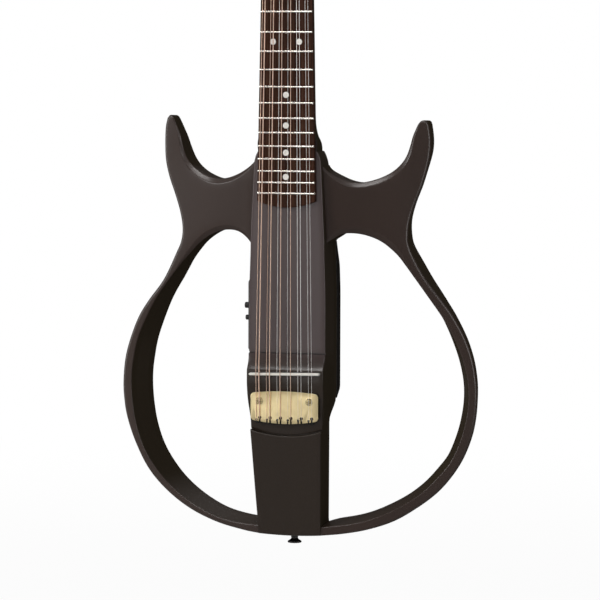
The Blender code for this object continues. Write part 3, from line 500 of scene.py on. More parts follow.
class Shape:
    """Collects vertices and faces in millimetres."""

    def __init__(self):
        self.verts = []
        self.faces = []

    def take(self, verts, faces, place=None):
        base = len(self.verts)
        for v in verts:
            v = Vector(v)
            self.verts.append(tuple(place @ v if place is not None else v))
        self.faces += [tuple(base + i for i in f) for f in faces]
        return self

    def rings(self, rings, place=None, ends=True):
        """Skins closed rings of equal counts."""
        count = len(rings[0])
        faces = quads(len(rings), count)
        if ends:
            faces += [tuple(range(count)), tuple((len(rings) - 1) * count + i for i in range(count))]
        return self.take([p for ring in rings for p in ring], faces, place)

    def turned(self, profile, sides, place=None, squash=None, ripple=None, hollow=False):
        """Rings round local Z from (radius, height); ripple(k, angle) scales a ring's radius."""
        if hollow:
            profile = profile + profile[:1]
        rings = []
        for k, (radius, height) in enumerate(profile):
            flat = squash[k] if squash else 1.0
            ring = []
            for i in range(sides):
                a = 2 * math.pi * i / sides
                r = radius * (ripple(k, a) if ripple else 1.0)
                ring.append((r * math.cos(a), r * flat * math.sin(a), height))
            rings.append(ring)
        return self.rings(rings, place, ends=not hollow)

    def box(self, low, high, place=None):
        (x0, y0, z0), (x1, y1, z1) = low, high
        return self.rings([[(x0, y0, z), (x1, y0, z), (x1, y1, z), (x0, y1, z)] for z in (z0, z1)], place)

    def slab(self, outline, low, high, place=None, edge=0.0, steps=3):
        """A plate over an outline in local XZ between two Y values, its front edge rounded."""
        rings = []
        count = len(outline)
        centre = Vector((sum(x for x, z in outline) / count, sum(z for x, z in outline) / count))
        reach = max((Vector(p) - centre).length for p in outline)
        for k in range(steps + 1 if edge else 1):
            a = math.pi / 2 * (1 - k / steps) if edge else 0.0
            shrink = 1 - edge * (1 - math.cos(a)) / reach
            y = low + edge * (1 - math.sin(a)) if edge else low
            rings.append([(centre.x + (x - centre.x) * shrink, y, centre.y + (z - centre.y) * shrink)
                          for x, z in outline])
        rings.append([(x, high, z) for x, z in outline])
        return self.rings(rings, place)

    def tube(self, points, radius, sides):
        """A round tube along points; its frame is carried from point to point."""
        points = [Vector(p) for p in points]
        angles = [2 * math.pi * j / sides for j in range(sides)]
        rings = []
        side = None
        for i, p in enumerate(points):
            ahead = (points[min(i + 1, len(points) - 1)] - points[max(i - 1, 0)]).normalized()
            if side is None:
                side = Vector((1, 0, 0)) if abs(ahead.x) < 0.9 else Vector((0, 0, 1))
            side = (side - ahead * side.dot(ahead)).normalized()
            up = ahead.cross(side)
            rings.append([p + (side * math.cos(a) + up * math.sin(a)) * radius for a in angles])
        return self.rings(rings)

    def mesh(self, name):
        made = bpy.data.meshes.new(name)
        made.from_pydata([(x * MM, (y - BUTTON_Y) * MM, z * MM) for x, y, z in self.verts], [], self.faces)
        work = bmesh.new()
        work.from_mesh(made)
        bmesh.ops.remove_doubles(work, verts=work.verts, dist=1e-7)
        bmesh.ops.recalc_face_normals(work, faces=work.faces)
        work.to_mesh(made)
        work.free()
        return made


def piece(name, shape, look, node=None, body=ROOT, cuts=(), bend=42.0, edge=0.0):
    """Makes one finished piece that rides on a body, and stands for a node where one is named."""
    mesh = shape.mesh(name)
    item = bpy.data.objects.new(name, mesh)
    bpy.context.scene.collection.objects.link(item)
    mesh.materials.append(finish(look))
    smooth(item, bend)
    if edge:
        rounding = item.modifiers.new("edges", "BEVEL")
        rounding.width = edge * MM
        rounding.segments = 2
        rounding.limit_method = "ANGLE"
        rounding.angle_limit = math.radians(bend)
        rounding.harden_normals = True
    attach(item, body)
    if node:
        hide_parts(node)
    if cuts:
        cut(item, cuts, bend=bend)
    return item


def smooth(item, bend):
    item.data.shade_smooth()
    item.data.set_sharp_from_angle(angle=math.radians(bend))


def cut(item, tools, operation="DIFFERENCE", bend=42.0):
    """Applies exact booleans with plain shapes as tools."""
    look = item.data.materials[0]
    for shape in tools:
        tool = bpy.data.objects.new(item.name + "_tool", shape.mesh(item.name + "_tool"))
        bpy.context.scene.collection.objects.link(tool)
        step = item.modifiers.new("cut", "BOOLEAN")
        step.operation = operation
        step.solver = "EXACT"
        step.object = tool
        bpy.context.view_layer.update()
        graph = bpy.context.evaluated_depsgraph_get()
        made = bpy.data.meshes.new_from_object(item.evaluated_get(graph), depsgraph=graph)
        item.modifiers.remove(step)
        item.data = made
        bpy.data.objects.remove(tool, do_unlink=True)
    item.data.materials.clear()
    item.data.materials.append(look)
    for face in item.data.polygons:
        face.material_index = 0
    smooth(item, bend)


def rod(radius, low, high, sides, place):
    """A plain round bar, used to bore holes."""
    return Shape().turned([(radius, low), (radius, high)], sides, place)


def cross_tool(place, long, wide, deep):
    """A cross recess cutter, its depth down local Z."""
    a, w = long / 2, wide
    outline = [(-w, -a), (w, -a), (w, -w), (a, -w), (a, w), (w, w), (w, a), (-w, a), (-w, w), (-a, w),
               (-a, -w), (-w, -w)]
    taper = 0.55
    return Shape().rings([[(x * taper, y * taper, -deep) for x, y in outline],
                          [(x, y, deep) for x, y in outline]], place)


def screws(name, look, places, profile, lift, cross, sides=24):
    """Small screws, each with a cross recess at a height above its place."""
    heads = Shape()
    for place in places:
        heads.turned(profile, sides, place)
    recesses = [cross_tool(place @ at(0, 0, lift), *cross) for place in places]
    piece(name, heads, look, cuts=recesses, bend=50.0)


def ease(t):
    t = min(max(t, 0.0), 1.0)
    return t * t * (3 - 2 * t)


def spline(points, step):
    """Even points along a smooth curve through the given ones, of any dimension."""
    p = np.array(points, dtype=float)
    p = np.vstack([2 * p[0] - p[1], p, 2 * p[-1] - p[-2]])
    out = []
    for i in range(1, len(p) - 2):
        for t in np.linspace(0, 1, 24, endpoint=False):
            a, b, c, d = p[i - 1], p[i], p[i + 1], p[i + 2]
            out.append(0.5 * (2 * b + (c - a) * t + (2 * a - 5 * b + 4 * c - d) * t * t
                              + (3 * b - a - 3 * c + d) * t ** 3))
    out.append(p[-2])
    out = np.array(out)
    run = np.concatenate([[0], np.cumsum(np.linalg.norm(np.diff(out, axis=0), axis=1))])
    want = np.linspace(0, run[-1], max(2, int(round(run[-1] / step))) + 1)
    return np.stack([np.interp(want, run, out[:, k]) for k in range(out.shape[1])], axis=1)


def rounded_box(x0, z0, x1, z1, radius, steps=5):
    """The closed outline of a box with its corners rounded."""
    points = [Vector(p) for p in ((x0, z0), (x1, z0), (x1, z1), (x0, z1))]
    out = []
    for i, here in enumerate(points):
        a, b = points[i - 1] - here, points[(i + 1) % 4] - here
        reach = min(radius, a.length / 2.01, b.length / 2.01)
        first, last = here + a.normalized() * reach, here + b.normalized() * reach
        for k in range(steps + 1):
            t = k / steps
            out.append(tuple(first * (1 - t) ** 2 + here * 2 * t * (1 - t) + last * t * t))
    return out


def arc(cx, cz, radius, start, sweep, steps):
    """Points round a centre, from a start angle through a sweep in degrees."""
    angles = [math.radians(start + sweep * k / steps) for k in range(steps + 1)]
    return [(cx + radius * math.cos(a), cz + radius * math.sin(a)) for a in angles]


def turn_to(axis, place):
    """A frame at a place whose Z lies along an axis."""
    z = Vector(axis).normalized()
    return at(*place) @ z.to_track_quat("Z", "Y").to_matrix().to_4x4()


# The instrument's own measures

def tail_fall(z):
    """How far the tail's front lies behind the deck."""
    return TAIL_DROP - TAIL_LEAN * (z - 5.0)


def saddle_z(x):
    """The saddle slants, with its treble end nearer the nut."""
    return SADDLE_Z + SADDLE_SLANT * x


def block_rise(z):
    """How far the bridge block stands before the deck; it sinks towards the tail."""
    return max(1.0, BLOCK_RISE - BLOCK_FALL * max(0.0, BLOCK_LEVEL_Z - z))


def front_fall(x, z):
    """How far the front of a wing or hoop lies behind the deck; the horns slope a little more."""
    slope = WING_SLOPE + HORN_SLOPE * ease((z - 250.0) / 150.0)
    return TAIL_DROP - WING_LEAN * (z - 10.0) + slope * (abs(x) - WING_ROOT)


def core_half(z):
    """Half the core's width; it is widest above the bridge and tapers both ways."""
    if z > 310:
        return 38.7 - 0.0474 * (z - 310) - 3.5 * max(0.0, (z - 388) / 12) ** 2
    if z > 160:
        return 38.7 + 1.4 * ease((310 - z) / 60)
    return 37.2 + 2.9 * ease((z - 115) / 45) - 0.044 * max(0.0, 115 - z)


def core_back(z):
    """The core's back, which comes forward at the heel and at the tail."""
    if z > 147:
        return CORE_BACK - (CORE_BACK - HEEL_DEPTH) * ease((z - CORE_TOP + 42.0) / 38.0)
    return CORE_BACK + (tail_fall(z) + TAIL_DEPTH - CORE_BACK) * ease((147 - z) / 20)


def depth_at(p):
    """How thick a wing is; it thins along the horn and stays before the core's back."""
    back = core_back(p[1]) if p[1] > 309 else CORE_BACK
    room = back - 1.0 - front_fall(*p) + 0.6 * (abs(p[0]) - WING_ROOT)
    return min(DEPTH - HORN_THINNING * ease((p[1] - CORE_TOP + 8) / 42.0), room)


def board_half(z):
    """Half the fingerboard's width."""
    nut = SADDLE_Z + sizes("scale")
    return (BOARD_NUT + (BOARD_END - BOARD_NUT) * (nut - z) / (nut - BOARD_END_Z)) / 2


def fret_z(n):
    return SADDLE_Z + sizes("scale") / 2 ** (n / 12)


def string_xs(place):
    """Places of the twelve strings across the nut, the saddle or the plate."""
    pitch, pair = STRING_SPREAD[place]
    out = []
    for course in range(6):
        centre = (course - 2.5) * pitch
        out += [centre + pair / 2, centre - pair / 2]
    return out


def head_matrix():
    return at(0, 0, fret_z(0)) @ Matrix.Rotation(-HEAD_TILT, 4, "X")


def tuner_matrix(side, k):
    """The frame of one tuner, its Z along the row of posts."""
    lean = math.atan(POST_TAPER / POST_PITCH) * side
    base = at(side * POST_X, 0, POST_FIRST) @ Matrix.Rotation(-lean, 4, "Y")
    return head_matrix() @ base @ at(0, 0, POST_PITCH / math.cos(lean) * k)


def screw_place(side):
    """The frame of one of the plate's screws, its Z to the front."""
    return at(PLATE_SCREW_X * side, 0, PLATE_SCREW_Z) @ FRONTWARD


# The core's side by the control panel, and the panel's outer face
PANEL_EDGE = -core_half(235)
PANEL_X = PANEL_EDGE - GAP - 2.4


def panel_place(y, z):
    return at(PANEL_X, y, z) @ LEFTWARD


# Outlines of the wings, from the core round the horn and hoop and back

BASS = {
    "cut": [(-35, 390.6), (-38.8, 386.9), (-44.6, 382.4), (-54.7, 376.6), (-67.8, 372), (-82, 370.8),
            (-96.1, 375.4), (-106.1, 381.6), (-112.4, 388), (-116.6, 394.9), (-119.5, 403.5),
            (-121.7, 413.3), (-124.5, 421.6)],
    "tip": [(-127.2, 428), (-130, 433), (-133.7, 434.8)],
    "outer": [(-137.1, 431.6), (-139.3, 422.5), (-140.1, 406.9), (-139.3, 388.5), (-135.1, 371.4),
            (-128, 353.1), (-122.3, 336.1), (-119.4, 320.3), (-120.7, 306.7), (-126.1, 294.3),
            (-140.4, 266.7), (-158.1, 244.2), (-169.9, 226.6), (-179.7, 203.8), (-185.7, 182.9),
            (-188.1, 160.2), (-187.5, 142.3), (-184, 122.1), (-174.6, 96.5), (-159.4, 69.6),
            (-138.3, 48.2), (-111.6, 30.8), (-81.2, 18.9), (-50.9, 12.6), (-33, 10.6)],
    "inner": [(-34, 19.4), (-57.7, 20.7), (-84.2, 26.1), (-110.8, 38), (-133.7, 53.9), (-151.1, 72),
            (-163.4, 90.5), (-172, 112.5), (-176.6, 136.6), (-177.9, 160.8), (-175.4, 183.4),
            (-168.2, 209.6), (-149.9, 244.7), (-130.1, 271), (-118.7, 285.1)],
    "crown": [(-108.9, 295.5), (-99.3, 305.2), (-88, 312.9), (-75.6, 317.9), (-64.1, 319.2), (-54.4, 317.3),
            (-46.2, 312.1), (-39.2, 304.6)],
}
TREBLE = {
    "cut": [(35.1, 385.4), (38.2, 382.1), (42, 378.7), (51, 373.1), (61.5, 369.5), (72.2, 368.9),
            (82.9, 371), (93.3, 374.8), (102.4, 379.9), (109.3, 385.9), (114, 391.9), (117.2, 398.1),
            (119.7, 405.5), (122.6, 415.8), (125.1, 422)],
    "tip": [(127.7, 427.6), (131.1, 431.1), (135.9, 431.2)],
    "outer": [(138.5, 427.6), (140.1, 418.6), (140.8, 409), (140.1, 398.2), (137.3, 383.6), (131.8, 364.1),
            (125, 346), (120.3, 329.2), (119.3, 313.5), (121, 303.9), (127.4, 289.5), (137, 272.6),
            (152.7, 251.5), (164.4, 234.9), (176.1, 213.2), (183.6, 191.4), (187.2, 171.2), (188, 154.3),
            (186.7, 134.1), (182.7, 113.7), (174.3, 91.7), (162.8, 72.8), (147.9, 55.6), (128, 40),
            (104.5, 26), (78, 17), (52.9, 12.4), (33, 10.6)],
    "inner": [(34, 19.4), (62, 23), (85.3, 29.4), (111.9, 41.7), (132.6, 55.7), (148.6, 71.6), (161.9, 88.6),
            (172.1, 112.6), (177.6, 136), (179.1, 156.3), (177.3, 174.6), (172.1, 194.8), (163.7, 214.9),
            (153.5, 233.3), (141, 251.6), (126.9, 271.5), (117.2, 284.8)],
    "crown": [(107.5, 296.7), (93.2, 308.6), (79, 315), (65.4, 317.6), (53.8, 316.9), (44.6, 311.6),
            (39.3, 308)],
}
# The ridge, bevel and edge of the front, as shares of the bevel's width and depth
BEVEL = ((1.0, 0.0), (0.95, 0.006), (0.89, 0.03), (0.82, 0.075), (0.74, 0.145), (0.64, 0.24), (0.40, 0.475),
         (0.16, 0.72), (0.06, 0.84), (0.0, 1.0))


def arch(base, middle=None):
    """A width or depth along a run, from its ends to its middle."""
    swell = (base if middle is None else middle) - base
    return lambda t: base + swell * math.sin(math.pi * t) ** 0.8


def lean_outer(p, n):
    """How far the outer wall leans in behind its edge, least at the waist."""
    waist = math.exp(-((p[1] - 282) / 34) ** 2)
    return -(1.0 + 6.5 * abs(n[0]) * (1 - waist) * ease((CORE_TOP + 40 - p[1]) / 60))


def lean_inner(p, n):
    """How far the hoop's inner wall leans out behind its edge."""
    return (4.5 + 8.5 * abs(n[0]) ** 1.5) * ease((330 - p[1]) / 135)


def lean_small(p, n):
    return -1.0


def blur(values, passes):
    """Smooths values that run round a closed outline."""
    values = np.array(values, dtype=float)
    for _ in range(passes):
        values = (np.roll(values, 1) + 2 * values + np.roll(values, -1)) / 4
    return values


def inside(point, loop):
    """Whether a point lies inside a closed outline."""
    x, z = point
    a, b = loop, np.roll(loop, -1, axis=0)
    span = (a[:, 1] > z) != (b[:, 1] > z)
    with np.errstate(divide="ignore", invalid="ignore"):
        at = (b[:, 0] - a[:, 0]) * (z - a[:, 1]) / (b[:, 1] - a[:, 1]) + a[:, 0]
    return bool(np.count_nonzero(span & (x < at)) % 2)


def fill(loop, extra):
    """Triangles over a closed outline and inner points."""
    count = len(loop)
    points = [Vector(p) for p in loop] + [Vector(p) for p in extra]
    edges = [(i, (i + 1) % count) for i in range(count)]
    _, _, tris, origin, _, _ = delaunay_2d_cdt(points, edges, [], 1, 1e-6)
    if any(len(o) != 1 for o in origin):
        raise RuntimeError("a wing's outline crosses itself")
    return [tuple(origin[i][0] for i in tri) for tri in tris]


def wing(lines, side):
    """One wing with its horn and hoop, as a closed solid."""
    step = sizes("outline_step")
    cut_line, tip, outer, inner, crown = (list(lines[k]) for k in ("cut", "tip", "outer", "inner", "crown"))

    def on_seam(z):
        return side * (core_half(z) + SEAM_GAP), z

    cut_line[0], crown[-1] = on_seam(cut_line[0][1]), on_seam(crown[-1][1])
    foot_low, foot_top = on_seam(outer[-1][1]), on_seam(inner[0][1])
    seam = np.array([on_seam(z) for z in np.linspace(crown[-1][1], cut_line[0][1], 40)])
    swell = (arch(2.0, 6.0), arch(2.0, 4.5)) if side < 0 else (arch(2.0, 8.0), arch(2.0, 5.0))
    # points of each run, width and depth of its front edge, lean of its wall
    runs = (
        (spline(cut_line, step), arch(1.0, 6.0), arch(1.0, 4.5), lean_small),
        (spline([cut_line[-1]] + tip + [outer[0]], step * 0.5), arch(2.4), arch(2.6), lambda p, n: -0.2),
        (spline(outer[:-1] + [foot_low], step), arch(3.0), arch(3.2), lean_outer),
        (np.linspace(foot_low, foot_top, 4), arch(0.2), arch(0.2), lean_small),
        (spline([foot_top] + inner[1:], step), arch(1.5), arch(1.4), lean_inner),
        (spline([inner[-1]] + crown, step), *swell, lean_small),
        (seam, arch(0.3), arch(0.3), lean_small),
    )
    ridged_runs, seam_run = (0, 5, 6), 6
    pts, wide, deep, lean, kind = [], [], [], [], []
    for r, (points, inset, depth, tilt) in enumerate(runs):
        for k, p in enumerate(points[:-1]):
            t = k / (len(points) - 1)
            pts.append(p)
            wide.append(inset(t))
            deep.append(depth(t))
            lean.append(tilt)
            kind.append(r)
    pts = np.array(pts)
    area = sum(a[0] * b[1] - b[0] * a[1] for a, b in zip(pts, np.roll(pts, -1, axis=0)))
    ahead = np.roll(pts, -1, axis=0) - pts
    back = pts - np.roll(pts, 1, axis=0)
    ahead /= np.linalg.norm(ahead, axis=1)[:, None]
    back /= np.linalg.norm(back, axis=1)[:, None]
    run = ahead + back
    run /= np.linalg.norm(run, axis=1)[:, None]
    out = np.stack([run[:, 1], -run[:, 0]], axis=1) * (1 if area > 0 else -1)
    wide, deep = blur(wide, 40), blur(deep, 40)
    lean_by = blur([f(p, n) for f, p, n in zip(lean, pts, out)], 40)
    ridged = blur([1.0 if k in ridged_runs else 0.0 for k in kind], 40)
    for i, p in enumerate(pts):
        to_seam = abs(p[0]) - core_half(p[1]) - SEAM_GAP
        by_crown, by_foot = p[1] > 290, p[1] <= 100
        if by_crown:
            wide[i] = min(wide[i], 0.10 + 0.60 * max(to_seam, 0.0))
            deep[i] = min(deep[i], 0.25 + 0.45 * max(to_seam, 0.0))
            lean_by[i] = max(lean_by[i], -0.40 * max(to_seam, 0.0))
        if to_seam < 0.02:
            if by_foot:
                wide[i] = min(wide[i], 1.2)
                out[i] = (0, 1 if p[1] > 14 else -1)
            else:
                lean_by[i] = 0.0
                wide[i] = min(wide[i], 0.35 if kind[i] == seam_run else 0.02)
                out[i] = (-side, 0)
            if kind[i] == seam_run and min(p[1] - crown[-1][1], cut_line[0][1] - p[1]) < 6.0:
                wide[i] = 0.02
    rings = []
    for k, (a, b) in enumerate(BEVEL):
        t = math.pi / 2 * k / (len(BEVEL) - 1)
        inset, depth = 1 - math.sin(t), 1 - math.cos(t)
        rings.append([(p - n * w * (a * f + inset * (1 - f)), d * (b * f + depth * (1 - f)))
                      for p, n, w, d, f in zip(pts, out, wide, deep, ridged)])
    for share in (0.25, 0.5, 0.75):
        rings.append([(p + n * l * share * STRAIGHT, d + (depth_at(p) - REAR_ROUND - d) * share)
                      for p, n, l, d in zip(pts, out, lean_by, deep)])
    for a in np.radians((0.0, 22.5, 45.0, 67.5, 90.0)):
        rise, turn = REAR_ROUND * (1 - math.sin(a)), 1 - math.cos(a)
        rings.append([(p + n * (l * STRAIGHT + ((1 - STRAIGHT) * l - min(w, REAR_ROUND)) * turn),
                       depth_at(p) - rise) for p, n, l, w in zip(pts, out, lean_by, wide)])
    verts = [(p[0], d + front_fall(*p), p[1]) for ring in rings for p, d in ring]
    count = len(pts)
    faces = quads(len(rings), count)
    for which, spacing in ((0, 7.0), (len(rings) - 1, 9.0)):
        flat = np.array([p for p, d in rings[which]])
        grid = [(x, z) for x in np.arange(-200, 201, spacing) for z in np.arange(10, 440, spacing)
                if np.min(np.linalg.norm(flat - (x, z), axis=1)) > spacing * 0.45 and inside((x, z), flat)]
        first = len(verts)
        verts += [(x, front_fall(x, z) + (depth_at((x, z)) if which else 0.0), z) for x, z in grid]
        for tri in fill(flat, grid):
            faces.append(tuple(which * count + i if i < count else first + i - count for i in tri))
    return Shape().take(verts, faces)


def section(half, front, back, z, front_round, back_round, steps=5):
    """One level of a bar with four rounded corners, with points along its front and back too."""
    ring = []
    corners = ((half, back, back_round, 1, 1), (half, front, front_round, 1, -1),
               (-half, front, front_round, -1, -1), (-half, back, back_round, -1, 1))
    for x, y, (rx, ry), sx, sy in corners:
        for k in range(steps + 1):
            a = math.pi / 2 * (k / steps if sx * sy < 0 else 1 - k / steps)
            ring.append((x - sx * rx * (1 - math.cos(a)), y - sy * ry * (1 - math.sin(a)), z))
    out = []
    for here, after in zip(ring, ring[1:] + ring[:1]):
        out.append(here)
        if abs(after[0] - here[0]) > half:
            out += [tuple(Vector(here).lerp(after, k / 13)) for k in range(1, 13)]
    return out


class GUITAR_OT_wings(bpy.types.Operator):
    """Makes the bass and treble wings with their horns and hoops"""
    bl_idname = "guitar.wings"
    bl_label = "Wings and hoops"

    def execute(self, context):
        for lines, (side, word) in zip((BASS, TREBLE), SIDES):
            piece(word + "_wing", wing(lines, side), "wings", word + "_frame", bend=50.0)
        return {"FINISHED"}


class GUITAR_OT_core(bpy.types.Operator):
    """Makes the centre core with its deck, tail and pockets"""
    bl_idname = "guitar.core"
    bl_label = "Core"

    def ring(self, z):
        """One level of the core; the tail's upper edge has a lip and rises towards its sides."""
        end = max(0.0, (12.4 - z) / 3.0, (z - 398.6) / 1.4 * 0.5)
        pull = 1.6 * (1 - math.sqrt(max(0.0, 1 - end * end)))
        half = core_half(z) - (0.0 if z < 100 else pull)
        soft = 0.08 + 1.3 * ease((z - 20.0) / 2.0)
        foot = 1.2 * ease((20 - z) / 10.6)
        bow = TAIL_BOW * ease((z - 50.0) / (TAIL_TOP - 55.0)) if z < TAIL_TOP + 1 else 0.0
        front, sink = 0.0, 0.0
        if z <= TAIL_TOP:
            lip = min(max(1 - (TAIL_TOP - z) / TAIL_LIP, 0.0), 1.0)
            front = tail_fall(z) + TAIL_LIP * (1 - math.sqrt(1 - lip * lip))
            sink = TAIL_LEAN * bow
        row = []
        rear = (soft * 1.5, soft * 1.5)
        for x, y, h in section(half, front + pull, core_back(z) - pull, z, (soft, soft), rear):
            share = (x / half) ** 2
            if y < 12.0 + front:
                row.append((x, y - sink * share, h + (foot + bow) * share))
            else:
                row.append((x, y, h + foot * share))
        return row

    def execute(self, context):
        heights = [9.4, 9.9, 10.8, 12.4, 15.0] + list(np.arange(20.0, 110.0, 5.0))
        heights += [TAIL_TOP - d for d in (2.2, 1.8, 1.4, 1.0, 0.65, 0.35, 0.14, 0.03, 0.0, -0.1)]
        heights += list(np.arange(125.0, 396.0, 5.0)) + [396.0, 398.6, 399.6, CORE_TOP]
        deep = CORE_BACK + 5
        battery = Shape().box((-26, 20, 160), (30, deep, 228))
        preamp = Shape().box((-60, 10, 200.5), (-6, 30, 266.5))
        wires = Shape().box((-8, 30, 222), (4, deep, 262))
        heel = Shape().box((-20.3, -5, CORE_TOP - 48), (20.3, 22.3, CORE_TOP + 5))
        jack = rod(5.8, 0, 52, 32, at(-60, JACK_Y, JACK_Z) @ RIGHTWARD)
        power = rod(2.4, 0, 28, 24, at(-60, POWER_Y, POWER_Z) @ RIGHTWARD)
        strap = rod(2.1, 0, 36, 24, at(0, BUTTON_Y, -5))
        groove = Shape().box((-60, -2, 196.1), (60, 2.6, 197.3))
        piece("core_body", Shape().rings([self.ring(z) for z in heights]), "core", "core_block",
              cuts=[battery, preamp, wires, heel, jack, power, strap, groove])
        return {"FINISHED"}


class GUITAR_OT_housing(bpy.types.Operator):
    """Makes the rear housing, its screws, the battery and its door"""
    bl_idname = "guitar.housing"
    bl_label = "Rear housing and battery"

    def execute(self, context):
        self.shell()
        self.door()
        self.battery()
        return {"FINISHED"}

    def shell(self):
        front, back = CORE_BACK + GAP, HOUSING_BACK
        levels = (148.0, 156.5, 160.0, 282.0, 286.5, 308.0)
        depths = (front + 3.4, back - 0.8, back, back, back - 0.9, front + 5.0)
        rings = []
        for z in np.linspace(levels[0], levels[-1], 63):
            depth = np.mean([np.interp(z + s, levels, depths) for s in (-1.6, -0.8, 0, 0.8, 1.6)])
            soft = min(1.8, (depth - front) * 0.4)
            rings.append(section(core_half(z) - 0.2, front, depth, z, (0.2, 0.2), (soft, soft), 6))
        places = [at(side * 31.0, back, z) @ BACKWARD for z in (164.0, 277.0) for side in (-1, 1)]
        opening = rounded_box(-DOOR_HALF - RUN, DOOR_Z[0] - RUN, DOOR_HALF + RUN, DOOR_Z[1] + RUN, 1.2)
        cuts = [Shape().box((-34, front - 2, 160), (34, back - 2.4, 276)),
                Shape().slab(opening, back - 6, back + 4)]
        cuts += [rod(2.6, -1.0, 3.0, 28, place) for place in places]
        cuts += [Shape().slab(rounded_box(-9, z - 1.1, 9, z + 1.1, 1.0), back - 1.0, back + 3)
                 for z in range(240, 265, 6)]
        piece("housing_shell", Shape().rings(rings), "housing", "rear_housing", cuts=cuts)
        profile = [(2.2, -1.3), (2.35, -0.9), (2.2, -0.5), (1.3, -0.25), (0.6, -0.2)]
        screws("housing_screws", "dark_metal", places, profile, -0.2, (3.2, 0.55, 0.6), 28)

    def door(self):
        back = HOUSING_BACK
        line = rounded_box(-DOOR_HALF, DOOR_Z[0], DOOR_HALF, DOOR_Z[1], 1.2)
        grip = [Shape().slab(rounded_box(-7, 169, 7, 172.4, 1.6), back - 0.9, back + 2)]
        for k in range(4):
            low = 176 + 2.4 * k
            grip.append(Shape().slab(rounded_box(-5 + k, low, 5 - k, low + 1.1, 0.5), back - 0.4, back + 2))
        panel = Shape().slab(line, back - 2.0, back)
        piece("door_panel", panel, "housing", "battery_door", "battery_door_body", grip)

    def battery(self):
        line = rounded_box(-12.5, 24.0, 14.0, 41.5, 2.2)
        piece("battery_can", Shape().slab(line, 168.0, 213.6, SWAP_YZ), "wrap", "battery")
        ends = Shape().slab(line, 213.6, 214.4, SWAP_YZ)
        for x, r in ((-5.6, 3.0), (7.0, 2.6)):
            ends.turned([(r + 0.4, 214.2), (r + 0.4, 214.8), (r, 215.0), (r, 216.2), (r - 0.5, 216.5)], 20,
                        at(x, 32.75, 0))
        piece("battery_ends", ends, "inner_metal")


class GUITAR_OT_bridge(bpy.types.Operator):
    """Makes the bridge block and the saddle"""
    bl_idname = "guitar.bridge"
    bl_label = "Bridge"

    def execute(self, context):
        self.block()
        self.saddle()
        return {"FINISHED"}

    def block(self):
        rise = BLOCK_RISE
        end = TAIL_TOP + 0.4 + GAP
        stations = [(end, 0.5), (end + 0.2, 0.85), (end + 0.8, 1.0)]
        stations += [(z, block_rise(z)) for z in list(np.arange(118.0, 178.0, 4.0)) + [178.9]]
        stations += [(179.45, rise - 0.06), (179.9, rise - 0.3), (180.6, 7.4), (182.0, 6.3), (184.0, 5.0),
                     (187.0, 3.4), (190.0, 2.2), (193.0, 1.4), (195.8, 1.0)]
        rings = []
        for z, h in stations:
            half = core_half(z) - 0.03
            soft = min(1.3, max(h - 0.6, 0.1))
            bow = TAIL_BOW * ease((150 - z) / 32)
            row = []
            for x, y, a in section(half, -h, -GAP, z, (soft, soft), (0.1, 0.1)):
                share = (x / half) ** 2
                lift = block_rise(z + bow * share) - block_rise(z) if y < -0.45 else 0.0
                row.append((x, y - lift, a + bow * share))
            rings.append(row)
        item = piece("bridge_ramp", Shape().rings(rings), "core", "bridge_block")
        pad = Shape().box((-PLATE_HALF + 1.4, -rise, 129.4), (PLATE_HALF - 1.4, -0.8, 157.6))
        cut(item, [pad], operation="UNION")
        half = SADDLE_THICK / 2 + GAP
        reach = SADDLE_HALF + GAP - half
        ends = arc(reach, 0, half, -90, 180, 8) + arc(-reach, 0, half, 90, 180, 8)
        slot = [(x, saddle_z(x) + z) for x, z in ends]
        cut(item, [Shape().slab(slot, -20, -3.2)] + [rod(2.0, 3.0, 20, 24, screw_place(s)) for s in (-1, 1)])

    def saddle(self):
        half = SADDLE_THICK / 2
        top, base = STRING_TOP_SADDLE + 0.1, -4.7
        reach = SADDLE_HALF - half
        angles = [math.radians(90 - 11.25 * k) for k in range(8)]
        end = [(reach + half * math.sin(a), max(half * math.cos(a), 0.05)) for a in angles]
        middle = [(x, half) for x in np.linspace(1 - reach, reach - 1, 24)]
        rings = []
        for x, w in [(-x, w) for x, w in end] + middle + end[::-1]:
            crown = top + 0.9 * (1 - w / half)
            z = saddle_z(x)
            rings.append([(x, base, z - w), (x, base, z + w)]
                         + [(x, crown + 1.1 * (1 - math.sin(a)), z + w * math.cos(a))
                            for a in (math.pi * k / 8 for k in range(9))])
        piece("saddle_bone", Shape().rings(rings), "bone", "saddle", bend=50.0)


